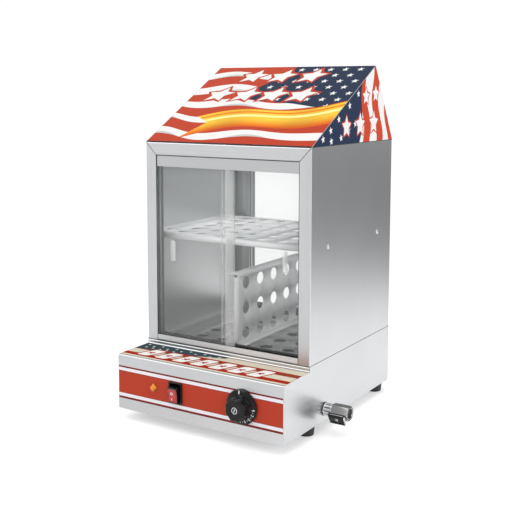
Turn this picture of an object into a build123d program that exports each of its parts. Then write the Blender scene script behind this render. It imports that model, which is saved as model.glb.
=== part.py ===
"""Counter-top hot dog steamer: stepped base, glass-doored cabinet, saddle-roof sign.

Millimetres, +Z up, front towards -Y. The origin is at floor level under the middle of the whole footprint,
which counts the knob in front, the drain valve on the right and the cable gland behind.
Pieces are drawn from three planes that share the middle of the cabinet's front face:
x runs across from the mid plane, y runs back from the cabinet's front face, z runs up from the floor.
"""

import os
from math import atan2, cos, degrees, radians, sin

from build123d import *

os.makedirs("parts", exist_ok=True)

# ---------------------------------------------------------------- driving sizes
body_w = 300.0  # across the outside of the side panels
step_d = 75.0  # control step, from its face back to the cabinet
base_h = 87.0  # base underside to step top
riser_h = 8.0  # step top to the deck that the cabinet stands on
cab_d = 283.0  # cabinet, front face to rear face
cab_h = 320.5  # cabinet, deck to roof
sign_h = 121.0  # roof to ridge of the sign
ridge_y = 213.0  # ridge, back from the cabinet's front face
foot_h = 18.0
vent_w, vent_h = 28.0, 4.0  # slots in the base's rear panel and floor

sheet = 1.0  # stainless sheet
bend = 2.0  # outer bend radius of folded sheet
joint_gap = 0.3  # visible joint between two pieces that meet edge to edge
lip = 12.0  # width of inner fixing lips
sides = 8  # of the small rounds that repeat: steam holes, screws, rods and their holes

# front and rear doorways
post_w = 20.0
rail_h = 21.0
rear_post_w = 28.0
rear_rail_h = 28.0
sill_h = 9.4
head_h = 17.5  # upper door track below the rail
fin = 1.6  # walls of the door tracks
groove_w = 5.2
groove_gap = 4.4  # between the outer and the inner groove
channel_w = 8.0  # door channel, sideways into the post
glass_t = 4.0
glass_play = 0.4  # between a shut door's edge and its channel
overlap = 15.0  # each door past the middle
head_groove = 13.0  # depth of the upper grooves
sill_groove = 5.0
head_cover = 6.5  # glass inside the upper groove

# finger pulls on the doors
pull_w = 9.0
pull_h = 33.0
pull_d = 4.4
pull_base = 1.4
pull_x = 100.0  # from the mid plane
pull_z = 148.0  # pull's middle above the deck

# water tank, hanging from the deck
tank_w = 238.0
tank_h = 91.0
tank_y = 29.0  # its front wall
tank_back = 29.0  # from its rear wall to the cabinet's rear face, room for the cable gland
opening_r = 5.0  # corners of the deck's opening over it

# shelf, divider and steam plate
shelf_z = 172.5  # shelf top above the deck
shelf_edge = 9.0
shelf_y = 24.0  # front edge
shelf_d = 236.0
shelf_play = 1.0
bracket_w = 15.0
bracket_l = 210.0
bracket_t = 1.2
screw_span = 174.4  # between the two shelf screws of a side
screw_rise = 7.0  # shelf screws above the bracket's ledge
divider_y = 36.0
divider_l = 221.0
divider_h = 113.0  # above the deck
divider_top = 16.0  # width of its top flange
divider_front = 7.0
divider_foot = 12.0
hole_r = 10.0  # punched steam holes of divider and steam plate
hole_pitch_y = 42.7
hole_pitch_z = 41.0
shelf_hole_r = 8.0
shelf_hole_pitch = 38.0

# controls on the front of the base, heights above the base underside
dial_x, dial_z = 81.0, 44.7
lamp_x, lamp_z = -79.5, 45.0
switch_x, switch_z = -38.4, 43.4
knob_r = 26.0
knob_gap = 1.0
cap_seat = 1.4  # depth of the cap in the grip
shaft_seat = 16.0  # shaft's end in front of the panel
shaft_back = 14.0  # and behind it
skirt_t = 4.5
skirt_top_r = 23.0
grip_r = 18.5
grip_lobes = 8
lobe_cut = 3.0  # corners taken off the lobes
grip_l = 19.5
cap_r = 5.0
shaft_r = 3.0
running = 0.05  # radial play of a shaft in its bush
bush_r = 4.75
thermostat_w = 38.0
thermostat_d = 24.0
bezel_w, bezel_h, bezel_t = 25.0, 33.5, 2.5
pocket_w, pocket_h, pocket_d = 18.5, 28.5, 15.0
rocker_w = 17.5
rocker_drop = 0.4  # rocker's pivot below the middle of the pocket
rocker_out = 1.0  # rocker's pivot in front of the panel
rocker_half = 11.5
rocker_reach = 9.3  # its two raised ends, in front of the pivot
rocker_hollow = 1.7  # its face is this much lower in the middle
rocker_tilt = 8.0
axle_r, axle_l = 1.2, 19.5
lamp_r = 5.8
lamp_rim = 6.8
lamp_l = 22.0
lens_r, lens_l, lens_dome = 5.4, 9.0, 3.6

# heater and its controls
element_r = 4.0
element_x = 50.0  # half the distance between its legs
element_bend = 30.0
element_l = 185.0  # from the tank's front wall to the far bend
element_rise = 14.0  # above the tank floor
bulb_r = 3.25
bulb_l = 75.0
bulb_x = 20.0
bulb_rise = 26.0
bulb_front = 18.0  # its front end, outside the tank
terminal_l = 16.0  # element ends in front of the tank
tank_nut_af, tank_nut_t = 15.0, 5.0
cutout_x = -12.0
cutout_r, cutout_t = 8.0, 5.0  # flange on the tank's front wall
cutout_w, cutout_h, cutout_step = 12.0, 8.0, 3.0  # its block in front of the flange
block_inset, block_y = 45.0, -15.0  # from the left side panel, and from the cabinet's front face
block_w, block_d, block_h = 34.0, 18.0, 9.0
block_pitch, block_tower_h = 11.0, 5.0
block_tower_w, block_tower_d = 9.0, 11.0
block_hole, block_hole_depth = 3.4, 4.0
capillary_r = 1.0
tab_w, tab_t, tab_l = 6.0, 1.0, 8.0  # push-on terminals of thermostat, switch and cut-out

# drain
drain_y = 47.5
drain_z = 18.0  # above the base underside
pipe_r = 8.3
pipe_bore = 5.5
washer_r, washer_t = 11.0, 2.0
stub_l = 13.0  # fluted socket of the valve, between washer and hexagon
socket_r, socket_sides = 9.8, 10
drain_nut_t = 4.0  # on both sides of the tank's end
valve_af = 21.0  # across the flats
valve_l = 28.0
outlet_r = 7.5
outlet_l = 7.8
plug_r = 6.8
plug_half = 7.0  # half the length of the turning plug
plug_bore = 4.5
plug_wall = 1.0  # body between the plug and the outlet, and the pipe
lever_l, lever_w, lever_t = 27.5, 16.0, 3.0
stem_r = 2.5
drive_w = 3.5  # square end of the stem in the lever
packing_nut_r, packing_nut_l = 4.6, 12.6  # hexagon round the stem; its end from the pipe's axis
lever_screw_r, lever_screw_l = 1.25, 5.0
lever_head_t = 1.6
lever_out = 13.2  # from the pipe's axis to the lever
stem_tilt = 30.0  # the lever's axis points forwards and this much down

# feet, screws, gland
foot_top_r, foot_r = 14.5, 12.0
foot_x = 131.0
foot_inset = 24.0  # front feet behind the cabinet's front face
rear_foot_inset = 15.5
screw_r = 2.0
screw_head_r = 3.6
screw_head_t = 2.2
shelf_head_r, shelf_head_t = 4.0, 2.6
nut_af = 7.0
nut_t = 3.2
gland_x, gland_z = -110.0, 28.0
gland_r = 9.0
gland_bore = 3.5
gland_collar, gland_dome = 4.0, 12.0
gland_locknut = 5.0

# ---------------------------------------------------------------- derived sizes
half = body_w / 2
inner = half - sheet
z_base = foot_h
z_step = z_base + base_h
z_deck = z_step + riser_h
z_top = z_deck + cab_h
z_ridge = z_top + sign_h
frame_d = sheet + 2 * fin + 2 * groove_w + groove_gap  # depth of the door tracks
tank_d = cab_d - tank_y - tank_back
tank_mid = tank_y + tank_d / 2
tank_floor = z_deck - tank_h + sheet
block_x = block_inset - half
valve_reach = washer_t + stub_l + valve_l
knob_reach = knob_gap + skirt_t + grip_l
gland_reach = gland_collar + gland_dome

x_mid = -valve_reach / 2
y_face = (step_d + knob_reach - cab_d - gland_reach) / 2

TOP = Plane(origin=(x_mid, y_face, 0), x_dir=(1, 0, 0), z_dir=(0, 0, 1))
SIDE = Plane(origin=(x_mid, y_face, 0), x_dir=(0, 1, 0), z_dir=(1, 0, 0))
FRONT = Plane(origin=(x_mid, y_face, 0), x_dir=(1, 0, 0), z_dir=(0, -1, 0))
# the same three seen from behind: y runs forwards from the rear face and x the other way
REAR_TOP = Plane(origin=(x_mid, y_face + cab_d, 0), x_dir=(-1, 0, 0), z_dir=(0, 0, 1))
REAR_SIDE = Plane(origin=(x_mid, y_face + cab_d, 0), x_dir=(0, -1, 0), z_dir=(-1, 0, 0))
REAR = Plane(origin=(x_mid, y_face + cab_d, 0), x_dir=(-1, 0, 0), z_dir=(0, 1, 0))
PANEL = FRONT.offset(step_d)  # the face that carries the controls


def area(plane, x0, x1, y0, y1):
    """Rectangle on a plane between two x and two y values."""
    with BuildSketch(plane) as sketch:
        with Locations(((x0 + x1) / 2, (y0 + y1) / 2)):
            Rectangle(x1 - x0, y1 - y0)
    return sketch.sketch


def folded(plane, points, side, radius=bend, thickness=sheet):
    """Section of a folded sheet: its outer line through points, rounded at the bends, thickened to one side."""
    with BuildSketch(plane) as sketch:
        with BuildLine():
            FilletPolyline(*points, radius=radius)
            offset(amount=thickness, side=side)
        make_face()
    return sketch.sketch


def outline(plane, points, radius=0):
    """Closed shape through points, with one corner radius or one for each corner."""
    with BuildSketch(plane) as sketch:
        with BuildLine():
            FilletPolyline(*points, radius=radius, close=True)
        make_face()
    return sketch.sketch


def mitre_line(width, height):
    """Where a post and a rail of these widths meet: the inner corner and the point beside the bend."""
    share = (width - bend) / width
    return (half - width, z_top - height), (half - bend, z_top - height + share * height)


# ================================================================ base
with BuildPart() as base_front_panel:
    section = folded(
        SIDE,
        [(-step_d, z_base), (-step_d, z_step), (0, z_step), (0, z_deck - sheet), (lip, z_deck - sheet)],
        Side.RIGHT,
    )
    extrude(section, amount=inner, both=True)
    with BuildSketch(PANEL):
        with Locations((dial_x, z_base + dial_z)):
            Circle(bush_r + joint_gap)
        with Locations((lamp_x, z_base + lamp_z)):
            RegularPolygon(lamp_r, sides)
        with Locations((switch_x, z_base + switch_z)):
            Rectangle(pocket_w + 2 * sheet, pocket_h + 2 * sheet)
    extrude(amount=-2 * sheet, mode=Mode.SUBTRACT)
base_front_panel.part.label = "base_front_panel"
export_step(base_front_panel.part, "parts/base_front_panel.step")

for name, hand in (("base_side_left", -1), ("base_side_right", 1)):
    with BuildPart() as base_side:
        plate = outline(
            SIDE.offset(hand * inner),
            [
                (-step_d, z_base),
                (-step_d, z_step),
                (0, z_step),
                (0, z_deck),
                (cab_d, z_deck),
                (cab_d, z_base),
            ],
            [0, bend, 0, 0, 0, 2 * bend],
        )
        extrude(plate, amount=hand * sheet)
        rear_flange = area(
            REAR.offset(-2 * sheet),
            *sorted((-hand * (inner - lip), -hand * inner)),
            z_base + sheet,
            z_deck - sheet,
        )
        extrude(rear_flange, amount=sheet)
        if hand > 0:
            with BuildSketch(SIDE.offset(half)):
                with Locations((drain_y, z_base + drain_z)):
                    Circle(pipe_r + joint_gap)
            extrude(amount=-2 * sheet, mode=Mode.SUBTRACT)
    base_side.part.label = name
    export_step(base_side.part, f"parts/{name}.step")

with BuildPart() as base_rear_panel:
    extrude(area(REAR.offset(-sheet), -inner, inner, z_base + sheet, z_deck - sheet), amount=sheet)
    with BuildSketch(REAR):
        with Locations((-gland_x, z_base + gland_z)):
            Circle(gland_r - 2)
        with Locations((0, z_base + base_h * 0.62)):
            with GridLocations(vent_w + 12, 3 * vent_h, 5, 2):
                Rectangle(vent_w, vent_h)
    extrude(amount=-2 * sheet, mode=Mode.SUBTRACT)
base_rear_panel.part.label = "base_rear_panel"
export_step(base_rear_panel.part, "parts/base_rear_panel.step")

feet_at = [
    (x, y) for x in (-foot_x, foot_x) for y in (foot_inset, cab_d - rear_foot_inset)
]

with BuildPart() as base_bottom_plate:
    tray = folded(
        SIDE,
        [(-step_d + sheet, z_base + lip), (-step_d + sheet, z_base), (cab_d - sheet, z_base)],
        Side.LEFT,
    )
    extrude(tray, amount=inner, both=True)
    with BuildSketch(TOP.offset(z_base)):
        with Locations(*feet_at):
            RegularPolygon(screw_r, sides)
        with Locations((0, -step_d / 2)):
            with GridLocations(vent_w + 6, 3 * vent_h, 5, 2):
                Rectangle(vent_w - 4, vent_h)
    extrude(amount=2 * sheet, mode=Mode.SUBTRACT)
base_bottom_plate.part.label = "base_bottom_plate"
export_step(base_bottom_plate.part, "parts/base_bottom_plate.step")

foot_recess_r, foot_recess_h = 5.0, 6.0

with BuildPart() as rubber_feet:
    with BuildSketch(TOP):
        with Locations(*feet_at):
            RegularPolygon(foot_r, 2 * sides)
    extrude(amount=foot_h, taper=-degrees(atan2(foot_top_r - foot_r, foot_h)))
    with BuildSketch(TOP):
        with Locations(*feet_at):
            RegularPolygon(foot_recess_r, sides)
    extrude(amount=foot_recess_h, mode=Mode.SUBTRACT)
    with BuildSketch(TOP):
        with Locations(*feet_at):
            RegularPolygon(screw_r, sides)
    extrude(amount=foot_h, mode=Mode.SUBTRACT)
rubber_feet.part.label = "rubber_feet"
export_step(rubber_feet.part, "parts/rubber_feet.step")

with BuildPart() as feet_screws:
    with BuildSketch(TOP.offset(foot_recess_h - screw_head_t)):
        with Locations(*feet_at):
            RegularPolygon(screw_head_r, sides)
    extrude(amount=screw_head_t)
    with BuildSketch(TOP.offset(foot_recess_h)):
        with Locations(*feet_at):
            RegularPolygon(screw_r, sides)
    extrude(amount=foot_h - foot_recess_h + 5 * sheet)
feet_screws.part.label = "feet_screws"
export_step(feet_screws.part, "parts/feet_screws.step")

# ---------------------------------------------------------------- tank and deck
with BuildPart() as deck_plate:
    extrude(area(TOP.offset(z_deck - sheet), -inner, inner, 0, cab_d), amount=sheet)
    with BuildSketch(TOP.offset(z_deck)):
        with Locations((0, tank_mid)):
            RectangleRounded(tank_w - 2 * sheet, tank_d - 2 * sheet, opening_r)
    extrude(amount=-2 * sheet, mode=Mode.SUBTRACT)
deck_plate.part.label = "deck_plate"
export_step(deck_plate.part, "parts/deck_plate.step")

# the tank is plates welded edge to edge, and its rim is welded under the edge of the deck's opening
with BuildPart() as tank_bottom:
    extrude(
        area(TOP.offset(tank_floor), sheet - tank_w / 2, tank_w / 2 - sheet, tank_y + sheet, tank_y + tank_d - sheet),
        amount=-sheet,
    )
tank_bottom.part.label = "tank_bottom"
export_step(tank_bottom.part, "parts/tank_bottom.step")

with BuildPart() as tank_walls:
    for y in (tank_y, tank_y + tank_d - sheet):
        extrude(area(TOP.offset(z_deck - sheet), -tank_w / 2, tank_w / 2, y, y + sheet), amount=sheet - tank_h)
    with BuildSketch(FRONT.offset(-tank_y)):
        for x in (-element_x, element_x):
            with Locations((x, tank_floor + element_rise)):
                RegularPolygon(element_r, sides, major_radius=False)
        with Locations((bulb_x, tank_floor + bulb_rise)):
            RegularPolygon(bulb_r, sides, major_radius=False)
    extrude(amount=-2 * sheet, mode=Mode.SUBTRACT)
tank_walls.part.label = "tank_walls"
export_step(tank_walls.part, "parts/tank_walls.step")

with BuildPart() as tank_ends:
    for x in (-tank_w / 2, tank_w / 2 - sheet):
        extrude(
            area(TOP.offset(z_deck - sheet), x, x + sheet, tank_y + sheet, tank_y + tank_d - sheet),
            amount=sheet - tank_h,
        )
    with BuildSketch(SIDE.offset(tank_w / 2)):
        with Locations((drain_y, z_base + drain_z)):
            Circle(pipe_r)
    extrude(amount=-2 * sheet, mode=Mode.SUBTRACT)
tank_ends.part.label = "tank_ends"
export_step(tank_ends.part, "parts/tank_ends.step")

# ================================================================ cabinet shell
bracket_z = z_deck + shelf_z - shelf_edge  # ledge that the shelf stands on
screws_at = [(cab_d / 2 + s * screw_span / 2, bracket_z + screw_rise) for s in (-1, 1)]

for name, hand in (("cabinet_side_left", -1), ("cabinet_side_right", 1)):
    with BuildPart() as cabinet_side:
        wall = folded(
            TOP.offset(z_deck),
            [
                (hand * (half - post_w), 0),
                (hand * half, 0),
                (hand * half, cab_d),
                (hand * (half - rear_post_w), cab_d),
            ],
            Side.LEFT if hand > 0 else Side.RIGHT,
        )
        extrude(wall, amount=cab_h)
        floor_lip = area(
            TOP.offset(z_deck),
            *sorted((hand * (inner - lip), hand * (inner + sheet / 2))),
            frame_d + 2 * sheet,
            cab_d - frame_d - 2 * sheet,
        )
        extrude(floor_lip, amount=sheet)
        for plane, turn, width, height in ((FRONT, hand, post_w, rail_h), (REAR, -hand, rear_post_w, rear_rail_h)):
            low, high = mitre_line(width, height)
            notch = outline(
                plane.offset(sheet),
                [
                    (turn * (low[0] - 1), low[1]),
                    (turn * low[0], low[1]),
                    (turn * high[0], high[1]),
                    (turn * high[0], z_top + 1),
                    (turn * (low[0] - 1), z_top + 1),
                ],
            )
            extrude(notch, amount=-2 * sheet, mode=Mode.SUBTRACT)
        with BuildSketch(SIDE.offset(hand * half)):
            with Locations(*screws_at):
                RegularPolygon(screw_r, sides)
        extrude(amount=-hand * 2 * sheet, mode=Mode.SUBTRACT)
    cabinet_side.part.label = name
    export_step(cabinet_side.part, f"parts/{name}.step")

with BuildPart() as roof_panel:
    cover = folded(
        SIDE,
        [
            (frame_d, z_top - rail_h),
            (0, z_top - rail_h),
            (0, z_top),
            (cab_d, z_top),
            (cab_d, z_top - rear_rail_h),
            (cab_d - frame_d, z_top - rear_rail_h),
        ],
        Side.RIGHT,
    )
    extrude(cover, amount=inner, both=True)
    for plane, width, height in ((FRONT, post_w, rail_h), (REAR, rear_post_w, rear_rail_h)):
        low, high = mitre_line(width, height)
        for hand in (-1, 1):
            corner = outline(
                plane.offset(sheet),
                [
                    (hand * (low[0] - joint_gap), low[1] - 1),
                    (hand * (low[0] - joint_gap), low[1]),
                    (hand * (high[0] - joint_gap), high[1]),
                    (hand * (high[0] - joint_gap), z_top + 1),
                    (hand * (half + 1), z_top + 1),
                    (hand * (half + 1), low[1] - 1),
                ],
            )
            extrude(corner, amount=-(bend + 2 * sheet), mode=Mode.SUBTRACT)
            beside = area(
                plane.offset(-bend),
                *sorted((hand * (low[0] - joint_gap), hand * (half + 1))),
                low[1] - 1,
                low[1] + bend,
            )
            extrude(beside, amount=-frame_d, mode=Mode.SUBTRACT)
roof_panel.part.label = "roof_panel"
export_step(roof_panel.part, "parts/roof_panel.step")

# ================================================================ doorways
# depths of the two grooves, back from the face of the doorway
groove_at = [sheet + fin + n * (groove_w + groove_gap) for n in (0, 1)]
head_z = {"front": z_top - rail_h, "rear": z_top - rear_rail_h}
jamb_x = {"front": half - post_w, "rear": half - rear_post_w}
doorways = (("front", TOP, SIDE), ("rear", REAR_TOP, REAR_SIDE))

for end, plan, section in doorways:
    wide = jamb_x[end] - joint_gap
    head = head_z[end]

    with BuildPart() as sill:
        angle = folded(
            section,
            [(0, z_deck + sill_h), (0, z_deck), (frame_d, z_deck)],
            Side.LEFT,
            radius=bend,
        )
        extrude(angle, amount=wide, both=True)
    sill.part.label = f"sill_{end}"
    export_step(sill.part, f"parts/sill_{end}.step")

    with BuildPart() as track_lower:
        with BuildSketch(section):
            track = (sheet + frame_d) / 2
            with Locations((track, z_deck + (sheet + sill_h) / 2)):
                Rectangle(frame_d - sheet, sill_h - sheet)
            for depth in groove_at:
                with Locations((depth + groove_w / 2, z_deck + sill_h - sill_groove / 2)):
                    Rectangle(groove_w, sill_groove, mode=Mode.SUBTRACT)
            # the sill's bend passes under the track's front corner
            with Locations((sheet, z_deck + sheet)):
                Rectangle(2 * sheet, 2 * sheet, mode=Mode.SUBTRACT)
        extrude(amount=wide, both=True)
    track_lower.part.label = f"track_lower_{end}"
    export_step(track_lower.part, f"parts/track_lower_{end}.step")

    with BuildPart() as track_upper:
        with BuildSketch(section):
            with Locations(((sheet + frame_d) / 2, head - head_h / 2)):
                Rectangle(frame_d - sheet, head_h)
            for depth in groove_at:
                with Locations((depth + groove_w / 2, head - head_h + head_groove / 2)):
                    Rectangle(groove_w, head_groove, mode=Mode.SUBTRACT)
        extrude(amount=wide, both=True)
    track_upper.part.label = f"track_upper_{end}"
    export_step(track_upper.part, f"parts/track_upper_{end}.step")

    with BuildPart() as door_channels:
        for hand in (-1, 1):
            with BuildSketch(plan.offset(z_deck)):
                with Locations((hand * (jamb_x[end] + channel_w / 2), (sheet + frame_d) / 2)):
                    Rectangle(channel_w, frame_d - sheet)
                for depth in groove_at:
                    with Locations((hand * (jamb_x[end] + (channel_w - fin) / 2), depth + groove_w / 2)):
                        Rectangle(channel_w - fin, groove_w, mode=Mode.SUBTRACT)
            extrude(amount=head - z_deck)
    door_channels.part.label = f"door_channels_{end}"
    export_step(door_channels.part, f"parts/door_channels_{end}.step")

    # each door: the left one in the outer grooves, the right one in the inner grooves
    glass_edge = jamb_x[end] + channel_w - fin - glass_play
    glass_low = z_deck + sill_h - sill_groove
    glass_high = head - head_h + head_cover
    for name, hand, depth in (("left", -1, groove_at[0]), ("right", 1, groove_at[1])):
        face = depth + (groove_w - glass_t) / 2
        with BuildPart() as glass:
            pane = area(
                plan.offset(glass_low),
                *sorted((hand * glass_edge, -hand * overlap)),
                face,
                face + glass_t,
            )
            extrude(pane, amount=glass_high - glass_low)
            chamfer(glass.edges().filter_by(Axis.Z), 0.5)
        glass.part.label = f"glass_{end}_{name}"
        export_step(glass.part, f"parts/glass_{end}_{name}.step")

        with BuildPart() as pull:
            # plan of the pull: a flat foot on the glass and a curved finger ridge along its far edge
            with BuildSketch(plan.offset(z_deck + pull_z - pull_h / 2)):
                with Locations((hand * pull_x, face - pull_base / 2)):
                    Rectangle(pull_w, pull_base)
                with Locations((hand * (pull_x + pull_w / 3), face - pull_d / 2)):
                    Rectangle(pull_w / 3, pull_d)
            extrude(amount=pull_h)
            ridge = pull.faces().sort_by(Axis(plan.origin, plan.y_dir))[0]
            chamfer(ridge.edges().filter_by(Axis.Z), pull_w / 8)
        pull.part.label = f"pull_{end}_{name}"
        export_step(pull.part, f"parts/pull_{end}_{name}.step")

# ================================================================ inside the cabinet
with BuildPart() as shelf_brackets:
    for hand in (-1, 1):
        with BuildSketch(FRONT.offset(-(cab_d - bracket_l) / 2)) as ledge:
            with Locations((hand * (inner - bracket_w / 2), bracket_z - bracket_t / 2)):
                Rectangle(bracket_w, bracket_t)
            with Locations((hand * (inner - bracket_t / 2), bracket_z - bracket_t + bracket_w / 2)):
                Rectangle(bracket_t, bracket_w)
        extrude(amount=-bracket_l)
        with BuildSketch(SIDE.offset(hand * inner)):
            with Locations(*screws_at):
                RegularPolygon(screw_r, sides)
        extrude(amount=-hand * 2 * bracket_t, mode=Mode.SUBTRACT)
shelf_brackets.part.label = "shelf_brackets"
export_step(shelf_brackets.part, "parts/shelf_brackets.step")

with BuildPart() as shelf_screws:
    for hand in (-1, 1):
        with BuildSketch(SIDE.offset(hand * half)):
            with Locations(*screws_at):
                RegularPolygon(shelf_head_r, sides)
        extrude(amount=hand * shelf_head_t, taper=12)
        with BuildSketch(SIDE.offset(hand * half)):
            with Locations(*screws_at):
                RegularPolygon(screw_r, sides)
        extrude(amount=-hand * (sheet + bracket_t + nut_t + 1))
shelf_screws.part.label = "shelf_screws"
export_step(shelf_screws.part, "parts/shelf_screws.step")

with BuildPart() as shelf_nuts:
    for hand in (-1, 1):
        with BuildSketch(SIDE.offset(hand * (inner - bracket_t))):
            with Locations(*screws_at):
                RegularPolygon(nut_af / 2, 6, major_radius=False)
                RegularPolygon(screw_r, sides, mode=Mode.SUBTRACT)
        extrude(amount=-hand * nut_t)
shelf_nuts.part.label = "shelf_nuts"
export_step(shelf_nuts.part, "parts/shelf_nuts.step")

with BuildPart() as bun_shelf:
    with BuildSketch(TOP.offset(bracket_z)):
        with Locations((0, shelf_y + shelf_d / 2)):
            Rectangle(2 * (inner - bracket_t - shelf_play), shelf_d)
    extrude(amount=shelf_edge)
    chamfer(bun_shelf.faces().sort_by(Axis.Z)[-1].edges(), bend / 2)
    offset(amount=-sheet, openings=bun_shelf.faces().sort_by(Axis.Z)[0])
    with BuildSketch(TOP.offset(bracket_z + shelf_edge)):
        with Locations((0, shelf_y + shelf_d / 2)):
            with GridLocations(shelf_hole_pitch, shelf_hole_pitch, 7, 6):
                RegularPolygon(shelf_hole_r, sides)
    extrude(amount=-2 * sheet, mode=Mode.SUBTRACT)
    # open notches drop over the bracket nuts and keep the shelf from sliding
    for hand in (-1, 1):
        for y, z in screws_at:
            with BuildSketch(TOP.offset(bracket_z)):
                with Locations((hand * (inner - bracket_t - (nut_t + 1.6) / 2), y)):
                    Rectangle(nut_t + 1.6, nut_af + 3)
            extrude(amount=shelf_edge, mode=Mode.SUBTRACT)
bun_shelf.part.label = "bun_shelf"
export_step(bun_shelf.part, "parts/bun_shelf.step")

plate_z = z_deck + sheet  # top of the steam plate

with BuildPart() as steam_plate:
    with BuildSketch(TOP.offset(z_deck)):
        with Locations((0, cab_d / 2)):
            Rectangle(2 * (inner - lip) - 1, cab_d - 2 * (frame_d + 1))
        with Locations((0, tank_mid)):
            with GridLocations(hole_pitch_z, hole_pitch_y, 5, 5):
                RegularPolygon(hole_r, sides, mode=Mode.SUBTRACT)
    extrude(amount=sheet)
steam_plate.part.label = "steam_plate"
export_step(steam_plate.part, "parts/steam_plate.step")

with BuildPart() as divider_plate:
    fold = folded(
        FRONT.offset(-divider_y),
        [
            (divider_foot, plate_z),
            (0, plate_z),
            (0, plate_z + divider_h),
            (-divider_top, plate_z + divider_h),
        ],
        Side.RIGHT,
    )
    extrude(fold, amount=-divider_l)
    extrude(
        area(
            FRONT.offset(-divider_y),
            -divider_front,
            0,
            plate_z + 2 * bend,
            plate_z + divider_h - 2 * bend,
        ),
        amount=-sheet,
    )
    with BuildSketch(SIDE.offset(2 * sheet)):
        with Locations((divider_y + divider_l / 2, plate_z + divider_h / 2)):
            with GridLocations(hole_pitch_y, hole_pitch_z, 5, 3):
                RegularPolygon(hole_r, sides)
    extrude(amount=-4 * sheet, mode=Mode.SUBTRACT)
divider_plate.part.label = "divider_plate"
export_step(divider_plate.part, "parts/divider_plate.step")

# ================================================================ sign
slope = atan2(sign_h, ridge_y)
with BuildPart() as sign_front_panel:
    face = folded(SIDE, [(lip + bend, z_top), (0, z_top), (ridge_y, z_ridge)], Side.RIGHT, radius=bend / 2 + sheet)
    extrude(face, amount=inner, both=True)
    for hand in (-1, 1):
        extrude(
            area(
                TOP.offset(z_top),
                *sorted((hand * (inner - lip - 1), hand * (inner + 1))),
                2 * bend + sheet,
                lip + 2 * bend,
            ),
            amount=sheet,
            mode=Mode.SUBTRACT,
        )
sign_front_panel.part.label = "sign_front_panel"
export_step(sign_front_panel.part, "parts/sign_front_panel.step")

back = atan2(sign_h, cab_d - ridge_y)
with BuildPart() as sign_back_panel:
    face = folded(
        SIDE,
        [
            (cab_d - lip - bend, z_top),
            (cab_d, z_top),
            (ridge_y + sheet * cos(back) / sin(slope + back), z_ridge - sheet * sin(back) / sin(slope + back)),
        ],
        Side.LEFT,
        radius=bend / 2 + sheet,
    )
    extrude(face, amount=inner, both=True)
    for hand in (-1, 1):
        extrude(
            area(
                TOP.offset(z_top),
                *sorted((hand * (inner - lip - 1), hand * (inner + 1))),
                cab_d - lip - 2 * bend,
                cab_d - 2 * bend - sheet,
            ),
            amount=sheet,
            mode=Mode.SUBTRACT,
        )
sign_back_panel.part.label = "sign_back_panel"
export_step(sign_back_panel.part, "parts/sign_back_panel.step")

for name, hand in (("sign_gable_left", -1), ("sign_gable_right", 1)):
    with BuildPart() as sign_gable:
        triangle = outline(
            SIDE.offset(hand * inner), [(0, z_top), (cab_d, z_top), (ridge_y, z_ridge)], [0, 0, 0]
        )
        extrude(triangle, amount=hand * sheet)
        extrude(
            area(
                TOP.offset(z_top),
                *sorted((hand * (inner - lip), hand * inner)),
                lip + 2 * bend,
                cab_d - lip - 2 * bend,
            ),
            amount=sheet,
        )
    sign_gable.part.label = name
    export_step(sign_gable.part, f"parts/{name}.step")

# ================================================================ controls
dial = Plane(PANEL.from_local_coords((dial_x, z_base + dial_z, 0)), x_dir=PANEL.x_dir, z_dir=PANEL.z_dir)
lamp = Plane(PANEL.from_local_coords((lamp_x, z_base + lamp_z, 0)), x_dir=PANEL.x_dir, z_dir=PANEL.z_dir)
switch = Plane(PANEL.from_local_coords((switch_x, z_base + switch_z, 0)), x_dir=PANEL.x_dir, z_dir=PANEL.z_dir)
knob_top = knob_gap + skirt_t + grip_l
grip_z = knob_gap + skirt_t

with BuildPart() as thermostat_knob:
    with Locations(dial.offset(knob_gap + skirt_t / 2)):
        Cone(knob_r, skirt_top_r, skirt_t)
    with BuildSketch(dial.offset(grip_z)) as grip:
        RegularPolygon(grip_r, grip_lobes, rotation=180 / grip_lobes)
        chamfer(grip.vertices(), lobe_cut)
    extrude(amount=grip_l)
    chamfer(thermostat_knob.faces().sort_by(Axis.Y)[0].edges(), lobe_cut / 2)
    with BuildSketch(dial.offset(knob_top)):
        Circle(cap_r)
    extrude(amount=-cap_seat, mode=Mode.SUBTRACT)
    with BuildSketch(dial):
        Circle(shaft_r)
    extrude(amount=shaft_seat, mode=Mode.SUBTRACT)
thermostat_knob.part.label = "thermostat_knob"
export_step(thermostat_knob.part, "parts/thermostat_knob.step")

with BuildPart() as knob_cap:
    with BuildSketch(dial.offset(knob_top - cap_seat)):
        Circle(cap_r)
    extrude(amount=cap_seat)
knob_cap.part.label = "knob_cap"
export_step(knob_cap.part, "parts/knob_cap.step")

with BuildPart() as thermostat_shaft:
    with BuildSketch(dial.offset(-shaft_back)):
        Circle(shaft_r)
    extrude(amount=shaft_back + shaft_seat)
thermostat_shaft.part.label = "thermostat_shaft"
export_step(thermostat_shaft.part, "parts/thermostat_shaft.step")

with BuildPart() as thermostat_body:
    with BuildSketch(dial.offset(-sheet)):
        Rectangle(thermostat_w, thermostat_w)
    extrude(amount=-thermostat_d)
    with BuildSketch(dial.offset(-sheet)):
        Circle(bush_r)
    extrude(amount=sheet + 0.5)
    with BuildSketch(dial.offset(-shaft_back - 1)):
        Circle(shaft_r + running)
    extrude(amount=shaft_back + 2, mode=Mode.SUBTRACT)
    with BuildSketch(dial.offset(-sheet - thermostat_d)):
        with Locations((0, tab_l)):
            with GridLocations(2 * tab_w, 1, 3, 1):
                Rectangle(tab_w, tab_t)
    extrude(amount=-tab_l)
thermostat_body.part.label = "thermostat_body"
export_step(thermostat_body.part, "parts/thermostat_body.step")

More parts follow.
